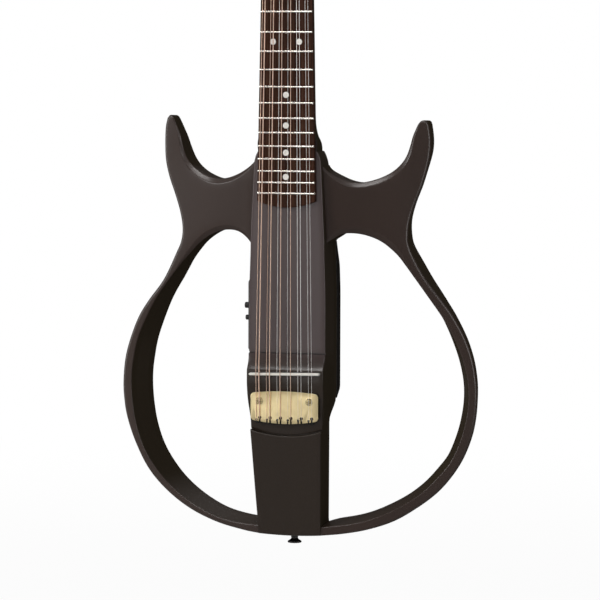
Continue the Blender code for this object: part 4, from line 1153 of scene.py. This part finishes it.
class GUITAR_OT_tailpiece(bpy.types.Operator):
    """Makes the gold plate with its keyhole slots, and its two screws"""
    bl_idname = "guitar.tailpiece"
    bl_label = "Tailpiece"

    def outline(self):
        """Round corners, with the upper and lower edges bowed outwards."""
        r = 4.0
        reach = PLATE_HALF - r
        line = []
        for sign, cz, start, edge, near in ((1, 152.8, 0, 158.6, 156.8), (-1, 132.4, 180, 125.6, 128.4)):
            line += arc(sign * reach, cz, r, start, 90, 9)
            line += [(sign * u * reach, edge + (near - edge) * u * u) for u in np.linspace(0.92, -0.92, 21)]
            line += arc(-sign * reach, cz, r, start + 90, 90, 9)
        return line

    def keyhole(self, k, x):
        main = k % 2 == 0
        wide = max(STRING_DIAMETERS[k] + 0.9, 1.9 if main else 1.6) / 2
        centre, hole = (131.5, 1.75) if main else (129.4, 1.3)
        start = math.asin(wide / hole)
        angles = [-math.pi / 2 + start + (2 * math.pi - 2 * start) * i / 14 for i in range(15)]
        neck = [(x - wide, 120.0), (x + wide, 120.0)]
        return neck + [(x + hole * math.cos(a), centre + hole * math.sin(a)) for a in angles]

    def execute(self, context):
        front, back = PLATE_FRONT, -BLOCK_RISE - GAP
        cuts = [Shape().slab(self.keyhole(k, x), front - 2, back + 2)
                for k, x in enumerate(string_xs("tail"))]
        cuts += [rod(2.0, 0, 20, 24, screw_place(s)) for s in (-1, 1)]
        piece("gold_plate", Shape().slab(self.outline(), front, back, edge=0.45, steps=4), "gold",
              "tailpiece_plate", cuts=cuts)
        head = -front + 0.05
        profile = [(1.5, 3.4), (1.6, 3.8)] + [(r, head + up) for r, up in (
            (1.6, 0.0), (3.9, 0.0), (3.95, 0.12), (3.75, 0.34), (3.3, 0.44), (2.85, 0.34), (2.6, 0.06),
            (2.42, 0.06), (2.3, 0.42), (1.9, 0.58), (0.6, 0.64))]
        for side, word in SIDES:
            turn = Matrix.Rotation(math.radians(28 * side), 4, "Z")
            cross = screw_place(side) @ at(0, 0, head + 0.64) @ turn
            piece("plate_screw_" + word, Shape().turned(profile, 40, screw_place(side)), "screw_gold",
                  "tailpiece_screw_" + word, cuts=[cross_tool(cross, 4.2, 0.5, 1.6)], bend=50.0)
        return {"FINISHED"}


class GUITAR_OT_board(bpy.types.Operator):
    """Makes the fingerboard, its frets and dots, and the nut"""
    bl_idname = "guitar.board"
    bl_label = "Fingerboard"

    def crown(self, u):
        """The board's front at a share of its half width."""
        return -BOARD_THICK + 0.75 * u * u

    def execute(self, context):
        self.board()
        self.frets()
        self.dots()
        self.nut()
        return {"FINISHED"}

    def board(self):
        across = [-1.0, -0.992, -0.97] + list(np.linspace(-0.92, 0.92, 17)) + [0.97, 0.992, 1.0]
        drop = {1.0: 0.75, 0.992: 0.2, 0.97: 0.03}
        levels = [(BOARD_END_Z + up, bow, low) for up, bow, low in (
            (0.0, BOARD_ARC, 0.6), (0.12, BOARD_ARC, 0.25), (0.4, BOARD_ARC, 0.06), (0.9, 6.4, 0.0))]
        levels += [(z, BOARD_ARC * max(0.0, 1 - (z - BOARD_END_Z) / 16.0), 0.0)
                   for z in np.arange(BOARD_END_Z + 4, 368, 4)]
        levels += [(z, 0.0, 0.0) for z in np.linspace(370, fret_z(0) - 0.1, 60)]
        rings = []
        for z, bow, low in levels:
            half = board_half(z)
            ring = [(half * u, self.crown(u) + drop.get(abs(u), 0.0) * 0.7 + low, z - bow * (1 - u * u))
                    for u in across]
            ring += [(half * u, -0.05, z - bow * (1 - u * u)) for u in reversed(across)]
            rings.append(ring)
        piece("rosewood_board", Shape().rings(rings), "board", "fingerboard")

    def frets(self):
        wires = Shape()
        width, height = sizes("fret_width") / 2, sizes("fret_height")
        profile = [(math.cos(math.pi * k / 10), math.sin(math.pi * k / 10)) for k in range(11)]
        ends = [(-1.0, 0.08), (-0.994, 0.45), (-0.986, 0.80), (-0.975, 1.0)]
        stations = ends + [(u, 1.0) for u in np.linspace(-0.9, 0.9, 13)]
        stations += [(-u, h) for u, h in reversed(ends)]
        for n in range(1, FRETS + 1):
            z = fret_z(n)
            half = board_half(z)
            rings = []
            for u, h in stations:
                y = self.crown(u)
                ring = [(half * u, y + 0.5, z + width), (half * u, y + 0.5, z - width)]
                ring += [(half * u, y - height * h * s, z - width * c) for c, s in reversed(profile)]
                rings.append(ring)
            wires.rings(rings)
        piece("fret_wires", wires, "nickel", bend=60.0)

    def dots(self):
        face, side = Shape(), Shape()
        r, q = sizes("dot"), sizes("side_dot")
        for n in (3, 5, 7, 9, 12, 15, 17, 19, 21):
            z = (fret_z(n) + fret_z(n - 1)) / 2
            half = board_half(z)
            for x in ((-13.5, 13.5) if n == 12 else (0.0,)):
                face.turned([(r, -0.6), (r, 0.03), (r * 0.93, 0.07), (r * 0.4, 0.08)], 32,
                            at(x, self.crown(x / half), z) @ FRONTWARD)
            for up in ((-3.2, 3.2) if n == 12 else (0.0,)):
                side.turned([(q, -0.5), (q, 0.32), (q * 0.8, 0.36)], 20,
                            turn_to((-1, 0, 0), (-half + 0.3, -2.9, z + up)))
        piece("board_dots", face, "pearl", bend=50.0)
        piece("side_dots", side, "pearl", bend=50.0)

    def nut(self):
        nut = fret_z(0)
        half = BOARD_NUT / 2 - 0.2
        ends = [(half, 0.5), (half - 0.15, 0.15), (half - 0.5, 0.0)]
        middle = [(x, 0.0) for x in np.linspace(-half + 1, half - 1, 12)]
        rings = []
        for x, pull in [(-x, pull) for x, pull in ends] + middle + ends[::-1]:
            top = STRING_TOP_NUT + 0.1 + pull + 0.18 * (x / half) ** 2
            near, far = nut + 0.1 + pull * 0.3, nut + 4.2 - pull * 0.3
            rings.append([(x, -0.05, near), (x, -0.05, far), (x, top + 1.5, far), (x, top + 0.6, nut + 3.8),
                          (x, top + 0.1, nut + 3.0), (x, top, nut + 2.0), (x, top + 0.08, nut + 0.9),
                          (x, top + 0.3, nut + 0.3), (x, top + 0.7, near)])
        grooves = []
        for x, thick in zip(string_xs("nut"), STRING_DIAMETERS):
            y = STRING_TOP_NUT - thick / 2
            grooves.append(Shape().tube([(x, y, nut - 2), (x, y, nut + 2.4), (x, y + 0.5, nut + 6)],
                                        thick / 2 + 0.06, 12))
        piece("bone_nut", Shape().rings(rings), "bone", "nut", cuts=grooves, bend=50.0)


class GUITAR_OT_neck(bpy.types.Operator):
    """Makes the neck and headstock with its bushings and truss rod cover"""
    bl_idname = "guitar.neck"
    bl_label = "Neck"

    def ring(self, place, half, thick, power, z, points=28):
        """A flat front and a rounded back; a low power makes the back squarer."""
        out = [(-half + 0.4, 0.0, z)] + [(half * u, 0.0, z) for u in (-0.66, -0.33, 0.0, 0.33, 0.66)]
        out += [(half - 0.4, 0.0, z), (half, 0.5, z)]
        for i in range(points):
            a = math.pi * (i + 1) / (points + 1)
            c, s = math.cos(a), math.sin(a)
            out.append((half * math.copysign(abs(c) ** power, c), 1.2 + (thick - 1.2) * s ** power, z))
        out.append((-half, 0.5, z))
        return [place @ Vector(p) for p in out]

    def execute(self, context):
        nut = fret_z(0)
        head = head_matrix()
        # height over the core, width beyond the board, thickness and squareness
        rows = [(0.05, 4.6, HEEL_DEPTH, 0.25), (6, 3.6, 28.2, 0.32), (16, 0.4, 25.2, 0.6),
                (30, -0.3, 23.8, 0.9), (50, -0.3, 23.2, 0.95), (80, -0.3, 22.5, 0.95),
                (240, -0.3, 21.5, 0.95), (400, -0.3, 20, 0.95), (nut - CORE_TOP - 4, -0.3, 20, 0.9)]
        rings = []
        for up, extra, thick, power in spline(rows, 4.0):
            if up > rows[-1][0] - 0.5:
                break
            z = CORE_TOP + up
            half = board_half(z) + extra
            if up < 44:
                half = min(half, core_half(CORE_TOP) + 0.05 * up)
            rings.append(self.ring(Matrix.Identity(4), half, thick, power, z))
        # height on the headstock, half width, thickness and squareness
        rows = [(3.5, 22.3, 18, 0.7), (6.0, 23.8, 16.4, 0.52), (9.0, 27.2, 15.2, 0.38)]
        rows += [(z, half, HEAD_THICK, 0.3) for z, half in (
            (12.0, 31.2), (15.4, 34.6), (19.0, 35.3), (26.0, 34.9), (100.0, 31.7), (HEAD_LENGTH - 18, 28.8),
            (HEAD_LENGTH - 10, 27.4), (HEAD_LENGTH - 4, 24.0), (HEAD_LENGTH - 1.2, 20.6))]
        rows.append((HEAD_LENGTH, 16.5, HEAD_THICK - 0.3, 0.3))
        rings += [self.ring(head, half, thick, power, z) for z, half, thick, power in spline(rows, 2.5)]
        places = [tuner_matrix(side, k) @ FRONTWARD for side, k in TUNERS]
        cuts = [Shape().box((-3.2, -2, CORE_TOP + 20), (3.2, 10.4, nut - 6))]
        cuts += [rod(POST_R + RUN, -30, 10, 24, place) for place in places]
        neck = piece("neck_and_head", Shape().rings(rings), "neck", "neck", cuts=cuts)
        cut(neck, [Shape().box((-20, 0.0, CORE_TOP - 47), (20, 22, CORE_TOP + 8))], operation="UNION")
        bushes = Shape()
        bore = POST_R + 0.35
        profile = [(bore, -0.2), (5.3, -0.2), (5.3, 0.5), (5.0, 0.85), (4.2, 1.5), (3.7, 1.65), (bore, 1.5)]
        for place in places:
            bushes.turned(profile, 32, place, hollow=True)
        piece("post_bushings", bushes, "tuner_gold", bend=35.0)
        self.cover(head)
        return {"FINISHED"}

    def cover(self, head):
        right = [(7.5, 9.0), (10.5, 10.2), (11.2, 13.4), (9.4, 20.0), (6.2, 28.0), (3.4, 37.0)]
        left = [(-x, z) for x, z in right]
        line = spline(left[:1] + right + [(0.0, 40.6)] + left[::-1], 1.2)[:-1]
        piece("rod_cover", Shape().slab([tuple(p) for p in line], -1.3, 0.0, head, edge=0.5), "panel")
        places = [head @ at(x, -1.3, z) @ FRONTWARD for x, z in ((-8.0, 12.6), (8.0, 12.6), (0.0, 36.4))]
        screws("rod_cover_screws", "tuner_gold", places,
               [(1.5, -0.5), (1.5, 0.1), (1.25, 0.4), (0.6, 0.55), (0.2, 0.56)], 0.56, (1.9, 0.2, 0.5))


class GUITAR_OT_strings(bpy.types.Operator):
    """Makes the twelve strings from their ball ends to the turns round the posts"""
    bl_idname = "guitar.strings"
    bl_label = "Strings"

    def wrapped(self, post, side, r):
        """Turns of one string round its post, stacked towards the headstock, and its end in the post."""
        turns, per_turn = 2.6, 24
        steps = int(per_turn * turns)
        path = []

        def reach(radius, angle, y):
            path.append(post @ Vector((-side * radius * math.cos(angle), y, radius * math.sin(angle))))

        wrap = POST_R * POST_WAIST + r + 0.03
        for i in range(steps + 1):
            angle = 2 * math.pi * turns * i / steps
            down = min(i / per_turn * (2.2 * r + 0.05), 4.4)
            reach(wrap, angle, WRAP_Y + r * 0.2 + down)
        reach(wrap * 0.3, angle, WRAP_Y + down)
        return path

    def execute(self, context):
        nut = fret_z(0)
        xs = {place: string_xs(place) for place in ("nut", "saddle", "tail")}
        order = sorted(range(12), key=lambda k: xs["nut"][k])
        balls = Shape()
        spool = [(0.7, -1.3), (1.55, -1.3), (1.6, -1.1), (1.35, 0.0), (1.6, 1.1), (1.55, 1.3), (0.7, 1.3)]
        for k, name in enumerate(STRING_NAMES):
            r = STRING_DIAMETERS[k] / 2
            tail_x, saddle_x, nut_x = (xs[place][k] for place in ("tail", "saddle", "nut"))
            rank = order.index(k)
            side, place = (-1, rank) if rank < 6 else (1, 11 - rank)
            wraps = self.wrapped(tuner_matrix(side, place), side, r)
            slot_top = 132.6 if k % 2 == 0 else 130.2
            path = [Vector((tail_x, PLATE_FRONT + y, z)) for y, z in (
                (3.3, BALL_Z), (2.3, 128.6), (0.5, slot_top - 2.0), (-r * 0.9, slot_top - 0.2))]
            balls.turned(spool, 20, turn_to((1, 0, 0), path[0]))
            top_saddle = Vector((saddle_x, STRING_TOP_SADDLE - r, saddle_z(saddle_x)))
            top_nut = Vector((nut_x, STRING_TOP_NUT - r, nut + 2.0))
            for before, here, after in ((path[-1], top_saddle, top_nut), (top_saddle, top_nut, wraps[0])):
                a, b = (before - here).normalized(), (after - here).normalized()
                for t in (-1.0, -0.5, 0.0, 0.5, 1.0):
                    bend = 0.5 * (1 - abs(t)) ** 2
                    path.append(here + (a * -t if t < 0 else b * t) * 0.9 + (a + b) * 0.2 * bend)
            piece("wire_" + name, Shape().tube(path + wraps, r, 10), "bronze" if k in WOUND else "steel",
                  "string_" + name, bend=70.0)
        # The ball ends wear the painted shadow colour of the slots they sit behind.
        piece("string_balls", balls, "dark_balls", bend=50.0)
        return {"FINISHED"}


class GUITAR_OT_tuners(bpy.types.Operator):
    """Makes the two tuner strips with their posts, gears, worms and buttons"""
    bl_idname = "guitar.tuners"
    bl_label = "Tuners"

    def execute(self, context):
        back = HEAD_THICK + GAP
        shaft_y = back + PLATE_T + 3.6
        drop = GEAR_R + WORM_R + GAP
        for side, word in SIDES:
            self.strip(side, word, back, shaft_y, drop)
            for k in range(6):
                place = tuner_matrix(side, k)
                self.post(place, "%s_%d" % (word, k + 1), back + PLATE_T + 1.2)
                self.button(place @ at(0, shaft_y, -drop) @ (LEFTWARD if side < 0 else RIGHTWARD),
                            "%s_%d" % (word, k + 1))
        return {"FINISHED"}

    def strip(self, side, word, y, shaft_y, drop):
        base = tuner_matrix(side, 0)
        places = [tuner_matrix(side, k) for k in range(6)]
        length = POST_PITCH * 5
        flip = base @ at(0, 2 * y + PLATE_T, 0) @ Matrix.Scale(-1, 4, (0, 1, 0))
        line = rounded_box(-7.5, -15, 7.5, length + 11, 3.0, 6)
        plate = Shape().slab(line, y, y + PLATE_T, flip, edge=0.4)
        piece("tuner_plate_" + word, plate, "tuner_gold", "tuner_strip_" + word,
              cuts=[rod(POST_R + RUN, -30, 0, 24, place @ FRONTWARD) for place in places])
        foot = y + PLATE_T - 0.2
        eye = [(-x, h) for x, h in arc(0, shaft_y - 0.2, 3.0, 0, 180, 24)]
        outline = [(-3.0, foot)] + eye + [(3.0, foot)]
        lugs = Shape()
        for place in places:
            for x in (-5.6, 5.6):
                lugs.rings([[(x + t, h, -drop + z) for z, h in outline] for t in (-1.0, 1.0)], place)
        bores = [rod(SHAFT_R + 0.12, -9, 9, 20, place @ at(0, shaft_y, -drop) @ RIGHTWARD)
                 for place in places]
        piece("tuner_lugs_" + word, lugs, "tuner_gold", cuts=bores)
        low, high = -11.5, length + 7.4
        spots = [(x, z) for z in (low, high) for x in (-4.6, 4.6)]
        spots += [(0.0, POST_PITCH * k + POST_PITCH * 0.42) for k in range(5)]
        screws("tuner_plate_screws_" + word, "tuner_gold",
               [base @ at(x, y + PLATE_T, z) @ BACKWARD for x, z in spots],
               [(1.9, -0.2), (1.9, 0.2), (1.6, 0.7), (0.9, 1.0), (0.3, 1.05)], 1.05, (2.4, 0.24, 0.7))

    def post(self, place, word, gear):
        turn = place @ FRONTWARD
        waist = POST_R * POST_WAIST
        body = Shape().turned([(POST_R - 0.3, -gear - 0.1), (POST_R, -gear + 0.3), (POST_R, 5.0),
                               (POST_R * 0.97, 5.6), (waist, 6.3), (waist, 8.6), (POST_R * 0.95, 9.3),
                               (POST_R, 9.7), (POST_R, 10.2), (POST_R * 0.93, 10.7), (POST_R * 0.8, 11.0),
                               (0.6, 11.0)], 32, turn)
        teeth = 18

        def tooth(ring, angle):
            wave = math.cos(angle * teeth)
            return 1.0 if ring in (0, 5) else 1.0 - 0.13 * max(0.0, min(1.0, 0.5 - wave * 1.2))

        body.turned([(POST_R * 0.9, -gear - 4.4), (GEAR_R * 0.93, -gear - 4.4), (GEAR_R, -gear - 4.0),
                     (GEAR_R, -gear - 0.5), (GEAR_R * 0.93, -gear - 0.1), (POST_R * 0.9, -gear - 0.1)],
                    teeth * 8, turn, ripple=tooth)
        body.turned([(1.7, -gear - 5.2), (2.1, -gear - 4.9), (2.1, -gear - 4.3)], 28, turn)
        node = "tuner_post_" + word
        piece("post_" + word, body, "tuner_gold", node, node + "_body", bend=40.0)

    def button(self, axis, word):
        shaft = Shape().turned([(SHAFT_R - 0.3, -7.4), (SHAFT_R, -7.1), (SHAFT_R, 15.8), (2.7, 16.0),
                                (2.9, 16.5), (2.9, 17.6), (2.3, 18.4), (2.3, 19.2)], 24, axis)
        worm = []
        for i in range(97):
            a = 2 * math.pi * i / 16
            worm.append(axis @ Vector((2.0 * math.cos(a), 2.0 * math.sin(a), -4.0 + 8.0 * i / 96)))
        shaft.tube(worm, 0.42, 6)
        profile, flat = [], []
        for i in range(15):
            t = i / 14
            a = math.pi * t
            profile.append((max(8.6 * math.sin(a) ** 0.62 * (0.93 + 0.07 * t), 0.9),
                            18.6 + 12.4 * (1 - math.cos(a)) / 2))
            flat.append(0.42 + 0.10 * math.cos(a) ** 2)
        shaft.turned(profile, 40, axis, squash=flat)
        node = "tuner_button_" + word
        piece("button_" + word, shaft, "tuner_gold", node, node + "_body", bend=40.0)


class GUITAR_OT_controls(bpy.types.Operator):
    """Makes the control panel, knobs, power button, jack and strap button"""
    bl_idname = "guitar.controls"
    bl_label = "Controls and fittings"

    def execute(self, context):
        self.panel()
        self.knobs()
        self.power()
        self.jack()
        self.strap_button()
        return {"FINISHED"}

    def panel(self):
        cuts = []
        for name, z, radius, reach in KNOBS:
            place = panel_place(KNOB_Y, z)
            cuts += [rod(radius + 0.9, -0.5, 5, 32, place), rod(1.5 + RUN, -9, 5, 20, place)]
        cuts.append(Shape().slab(rounded_box(19, 226, 30, 249, 1.4), PANEL_X - 3, PANEL_X + 0.5, SWAP_XY))
        line = rounded_box(7.0, 198.0, 33.0, 269.0, 3.0, 6)
        plate = Shape().slab(line, PANEL_X, PANEL_EDGE - GAP, SWAP_XY, edge=0.7)
        piece("control_panel", plate, "panel", "preamp_module", cuts=cuts)
        case = Shape().box((PANEL_EDGE - 0.9, 10.7, 201.3), (-14, 29.3, 265.7))
        piece("preamp_case", case, "panel", edge=0.8)
        marks = Shape()
        for k in range(7):
            marks.box((PANEL_X - 0.12, 16.9, 239.6 + k * 1.25), (PANEL_X + 0.2, 17.5, 239.9 + k * 1.25))
        for name, z, radius, reach in KNOBS:
            for y, h in arc(KNOB_Y, z, radius + 1.6, -150, 300, 5):
                marks.turned([(0.28, -0.1), (0.28, 0.08)], 10, panel_place(y, h))
        piece("panel_marks", marks, "mark")
        light = Shape().turned([(1.1, -0.4), (1.1, 0.3), (0.9, 0.62), (0.5, 0.82), (0.15, 0.88)], 24,
                               panel_place(KNOB_Y, 258.0))
        piece("panel_light", light, "light", bend=50.0)
        sliders = Shape()
        for k in range(4):
            y = 21.0 + 2.4 * k
            level = 234.0 + 3.0 * math.sin(1.7 * k + 0.6) + 3
            sliders.box((PANEL_X + 0.3, y - 0.25, 228.5), (PANEL_X + 0.75, y + 0.25, 246.5))
            sliders.box((PANEL_X - 1.1, y - 0.7, level - 1.0), (PANEL_X + 0.7, y + 0.7, level + 1.0))
        piece("tone_sliders", sliders, "knob", edge=0.2)
        places = [panel_place(y, z) for y in (10.0, 30.0) for z in (201.5, 265.5)]
        profile = [(1.5, -0.4), (1.5, 0.12), (1.2, 0.4), (0.4, 0.55)]
        screws("panel_screws", "dark_metal", places, profile, 0.55, (1.9, 0.2, 0.5))

    def knobs(self):
        def flute(ring, angle):
            return 1.0 - (0.055 * (0.5 + 0.5 * math.cos(angle * 14)) ** 2 if 2 <= ring <= 5 else 0.0)

        for name, z, radius, reach in KNOBS:
            place = panel_place(KNOB_Y, z)
            dial = Shape().turned([(1.5, -7.5), (1.5, RUN - 0.3), (radius, RUN), (radius, reach - 1.1),
                                   (radius * 0.98, reach - 0.7), (radius * 0.95, reach - 0.45),
                                   (radius * 0.88, reach - 0.12), (radius * 0.76, reach),
                                   (radius * 0.2, reach - 0.05)], 112, place, ripple=flute)
            piece(name + "_dial", dial, "knob", name + "_knob", name + "_knob_body", bend=32.0)
            pointer = Shape().box((-0.22, radius * 0.25, reach - 0.1), (0.22, radius * 0.9, reach + 0.04),
                                  place)
            piece(name + "_pointer", pointer, "mark", body=name + "_knob_body")

    def power(self):
        place = at(-core_half(POWER_Z), POWER_Y, POWER_Z) @ LEFTWARD
        line = [(1.9, -3.6), (1.9, 2.1), (1.8, 2.5), (1.45, 2.82), (0.9, 2.9), (0.5, 2.8)]
        cap = Shape().turned(line, 32, place)
        piece("power_cap", cap, "knob", "power_button", "power_button_body", bend=40.0)
        line = [(2.35, -0.3), (3.9, -0.3), (3.9, 0.35), (3.6, 0.7), (2.7, 0.75), (2.35, 0.45)]
        piece("power_bezel", Shape().turned(line, 36, place, hollow=True), "panel")

    def jack(self):
        place = at(-core_half(JACK_Z), JACK_Y, JACK_Z) @ LEFTWARD
        line = [(3.3, -24), (5.3, -24), (5.3, 0.3), (11.0, 0.5), (11.0, 0.85), (10.7, 1.05), (5.0, 1.05),
                (5.0, 1.9), (4.8, 2.1), (3.7, 2.1), (3.3, 1.8)]
        sleeve = Shape().turned(line, 48, place, hollow=True)
        piece("jack_sleeve", sleeve, "inner_metal", "jack_socket", bend=40.0)

        def hexagon(ring, angle):
            if ring in (0, 5, 6):
                return 1.0
            wrapped = (angle + math.pi / 6) % (math.pi / 3) - math.pi / 6
            return 1.0 / math.cos(wrapped)

        line = [(5.05, 1.06), (6.6, 1.06), (6.75, 1.2), (6.75, 1.75), (6.4, 2.0), (5.05, 2.0)]
        nut = Shape().turned(line, 72, place, ripple=hexagon, hollow=True)
        piece("jack_nut", nut, "inner_metal", bend=30.0)

    def strap_button(self):
        def rib(ring, angle):
            return 1.0 - (0.075 * (0.5 + 0.5 * math.cos(angle * 16)) if 1 <= ring <= 5 else 0.0)

        line = [(5.6, 0.0), (6.6, 0.06), (7.0, 0.35), (7.2, 0.8), (7.1, 1.5), (6.4, 2.1), (5.0, 2.9),
                (4.1, 3.6), (3.6, 4.4), (3.45, 5.2), (3.6, 6.2), (4.3, 7.6), (5.3, 8.8), (5.6, 9.0),
                (5.6, 9.15), (1.8, 9.15), (1.8, 27.0)]
        piece("strap_peg", Shape().turned(line, 128, at(0, BUTTON_Y, 0), ripple=rib), "dark_metal",
              "end_strap_button", bend=35.0)


class GUITAR_OT_carried(bpy.types.Operator):
    """Gives the carried-over inner pieces their finish"""
    bl_idname = "guitar.carried"
    bl_label = "Inner pieces"

    def execute(self, context):
        for name in ("truss_rod", "piezo_pickup"):
            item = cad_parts[name]
            item.data.materials.clear()
            item.data.materials.append(finish("inner_metal"))
        return {"FINISHED"}


class GUITAR_OT_stage(bpy.types.Operator):
    """Makes the floor, the soft lights, the sky and the camera"""
    bl_idname = "guitar.stage"
    bl_label = "Stage"

    def execute(self, context):
        self.floor()
        self.sky()
        self.lights(context)
        self.camera(context)
        context.scene.view_settings.view_transform = "Standard"
        return {"FINISHED"}

    def lights(self, context):
        for name, place, target, size, power, matt, glossy in LIGHTS:
            light = bpy.data.lights.new(name, "AREA")
            light.shape = "RECTANGLE"
            light.size, light.size_y = size
            light.energy = power
            item = bpy.data.objects.new(name, light)
            item.location = place
            item.rotation_euler = (Vector(target) - Vector(place)).to_track_quat("-Z", "Y").to_euler()
            item.visible_glossy = glossy
            item.visible_diffuse = matt
            context.scene.collection.objects.link(item)

    def camera(self, context):
        camera = bpy.data.cameras.new("photo_camera")
        camera.lens, camera.sensor_width = CAMERA_LENS, 36.0
        camera.clip_start, camera.clip_end = 0.1, 50.0
        item = bpy.data.objects.new("photo_camera", camera)
        turn = Matrix.Identity(4)
        for degrees, axis in CAMERA_TURNS:
            turn = turn @ Matrix.Rotation(math.radians(degrees), 4, axis)
        item.matrix_world = at(*CAMERA_PLACE) @ turn
        context.scene.collection.objects.link(item)
        context.scene.camera = item

    def floor(self):
        mesh = bpy.data.meshes.new("floor")
        reach, low = 2.4, -sizes("floor_drop") * MM
        mesh.from_pydata([(x * reach, y * reach, low) for x, y in ((-1, -1), (1, -1), (1, 1), (-1, 1))], [],
                         [(0, 1, 2, 3)])
        item = bpy.data.objects.new("floor", mesh)
        bpy.context.scene.collection.objects.link(item)
        look = Look("pale_floor", {"Roughness": 0.9, "Specular IOR Level": 0.1})
        cloud = look.noise((0.002, 0.002, 0.002), 2.0)
        look.finish(look.blend(cloud, (0.50, 0.50, 0.50), (0.53, 0.53, 0.53)))
        seen = look.add("LightPath", output="Is Camera Ray")
        far = look.add("VectorMath", {"operation": "LENGTH"}, {0: look.place()}, 1).between(500.0, 1900.0)
        white = look.add("Emission", None, {"Color": (1.0, 1.0, 1.0), "Strength": 1.0})
        surface = Term(look, look.shader.outputs[0])
        both = look.add("MixShader", None, {0: seen * (far * 0.05 + 0.95), 1: surface, 2: white})
        look.tree.links.new(both.socket, look.tree.nodes["Material Output"].inputs["Surface"])
        mesh.materials.append(look.material)

    def sky(self):
        world = bpy.data.worlds.new("studio")
        world.use_nodes = True
        graph = Graph(world.node_tree)
        seen = graph.add("LightPath", output="Is Camera Ray").most(
            graph.add("LightPath", output="Is Transmission Ray"))
        glossy = graph.add("LightPath", output="Is Glossy Ray")
        above = graph.add("TexCoord", output="Generated").part("Z").between(0.25, 0.85)
        back = world.node_tree.nodes["Background"]
        back.inputs["Color"].default_value = (1.0, 1.0, 1.0, 1.0)
        graph.feed(back.inputs["Strength"], seen.most(glossy * (above * 0.6 + 0.04) + (1.0 - glossy) * 0.42))
        bpy.context.scene.world = world


class GUITAR_PT_panel(bpy.types.Panel):
    """Lists the guitar's colours, sizes and pieces"""
    bl_idname = "GUITAR_PT_panel"
    bl_label = "Twelve-string guitar"
    bl_space_type = "VIEW_3D"
    bl_region_type = "UI"
    bl_category = "Guitar"

    def draw(self, context):
        scene = context.scene
        for title, group in (("Colours", scene.guitar_colours), ("Sizes", scene.guitar_sizes)):
            box = self.layout.box()
            box.label(text=title)
            for name in group.__class__.__annotations__:
                box.prop(group, name)
        for operator in STEPS:
            self.layout.operator(operator.bl_idname)


STEPS = (GUITAR_OT_stage, GUITAR_OT_wings, GUITAR_OT_core, GUITAR_OT_housing, GUITAR_OT_bridge,
         GUITAR_OT_tailpiece, GUITAR_OT_board, GUITAR_OT_neck, GUITAR_OT_strings, GUITAR_OT_tuners,
         GUITAR_OT_controls, GUITAR_OT_carried)
CLASSES = (GuitarColours, GuitarSizes) + STEPS + (GUITAR_PT_panel,)


def register():
    for item in CLASSES:
        bpy.utils.register_class(item)
    bpy.types.Scene.guitar_colours = PointerProperty(type=GuitarColours)
    bpy.types.Scene.guitar_sizes = PointerProperty(type=GuitarSizes)


def unregister():
    del bpy.types.Scene.guitar_sizes
    del bpy.types.Scene.guitar_colours
    for item in reversed(CLASSES):
        bpy.utils.unregister_class(item)


def main():
    register()
    for step in STEPS:
        group, name = step.bl_idname.split(".")
        getattr(getattr(bpy.ops, group), name)()
    bpy.context.view_layer.update()
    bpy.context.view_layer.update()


if __name__ == "__main__":
    main()
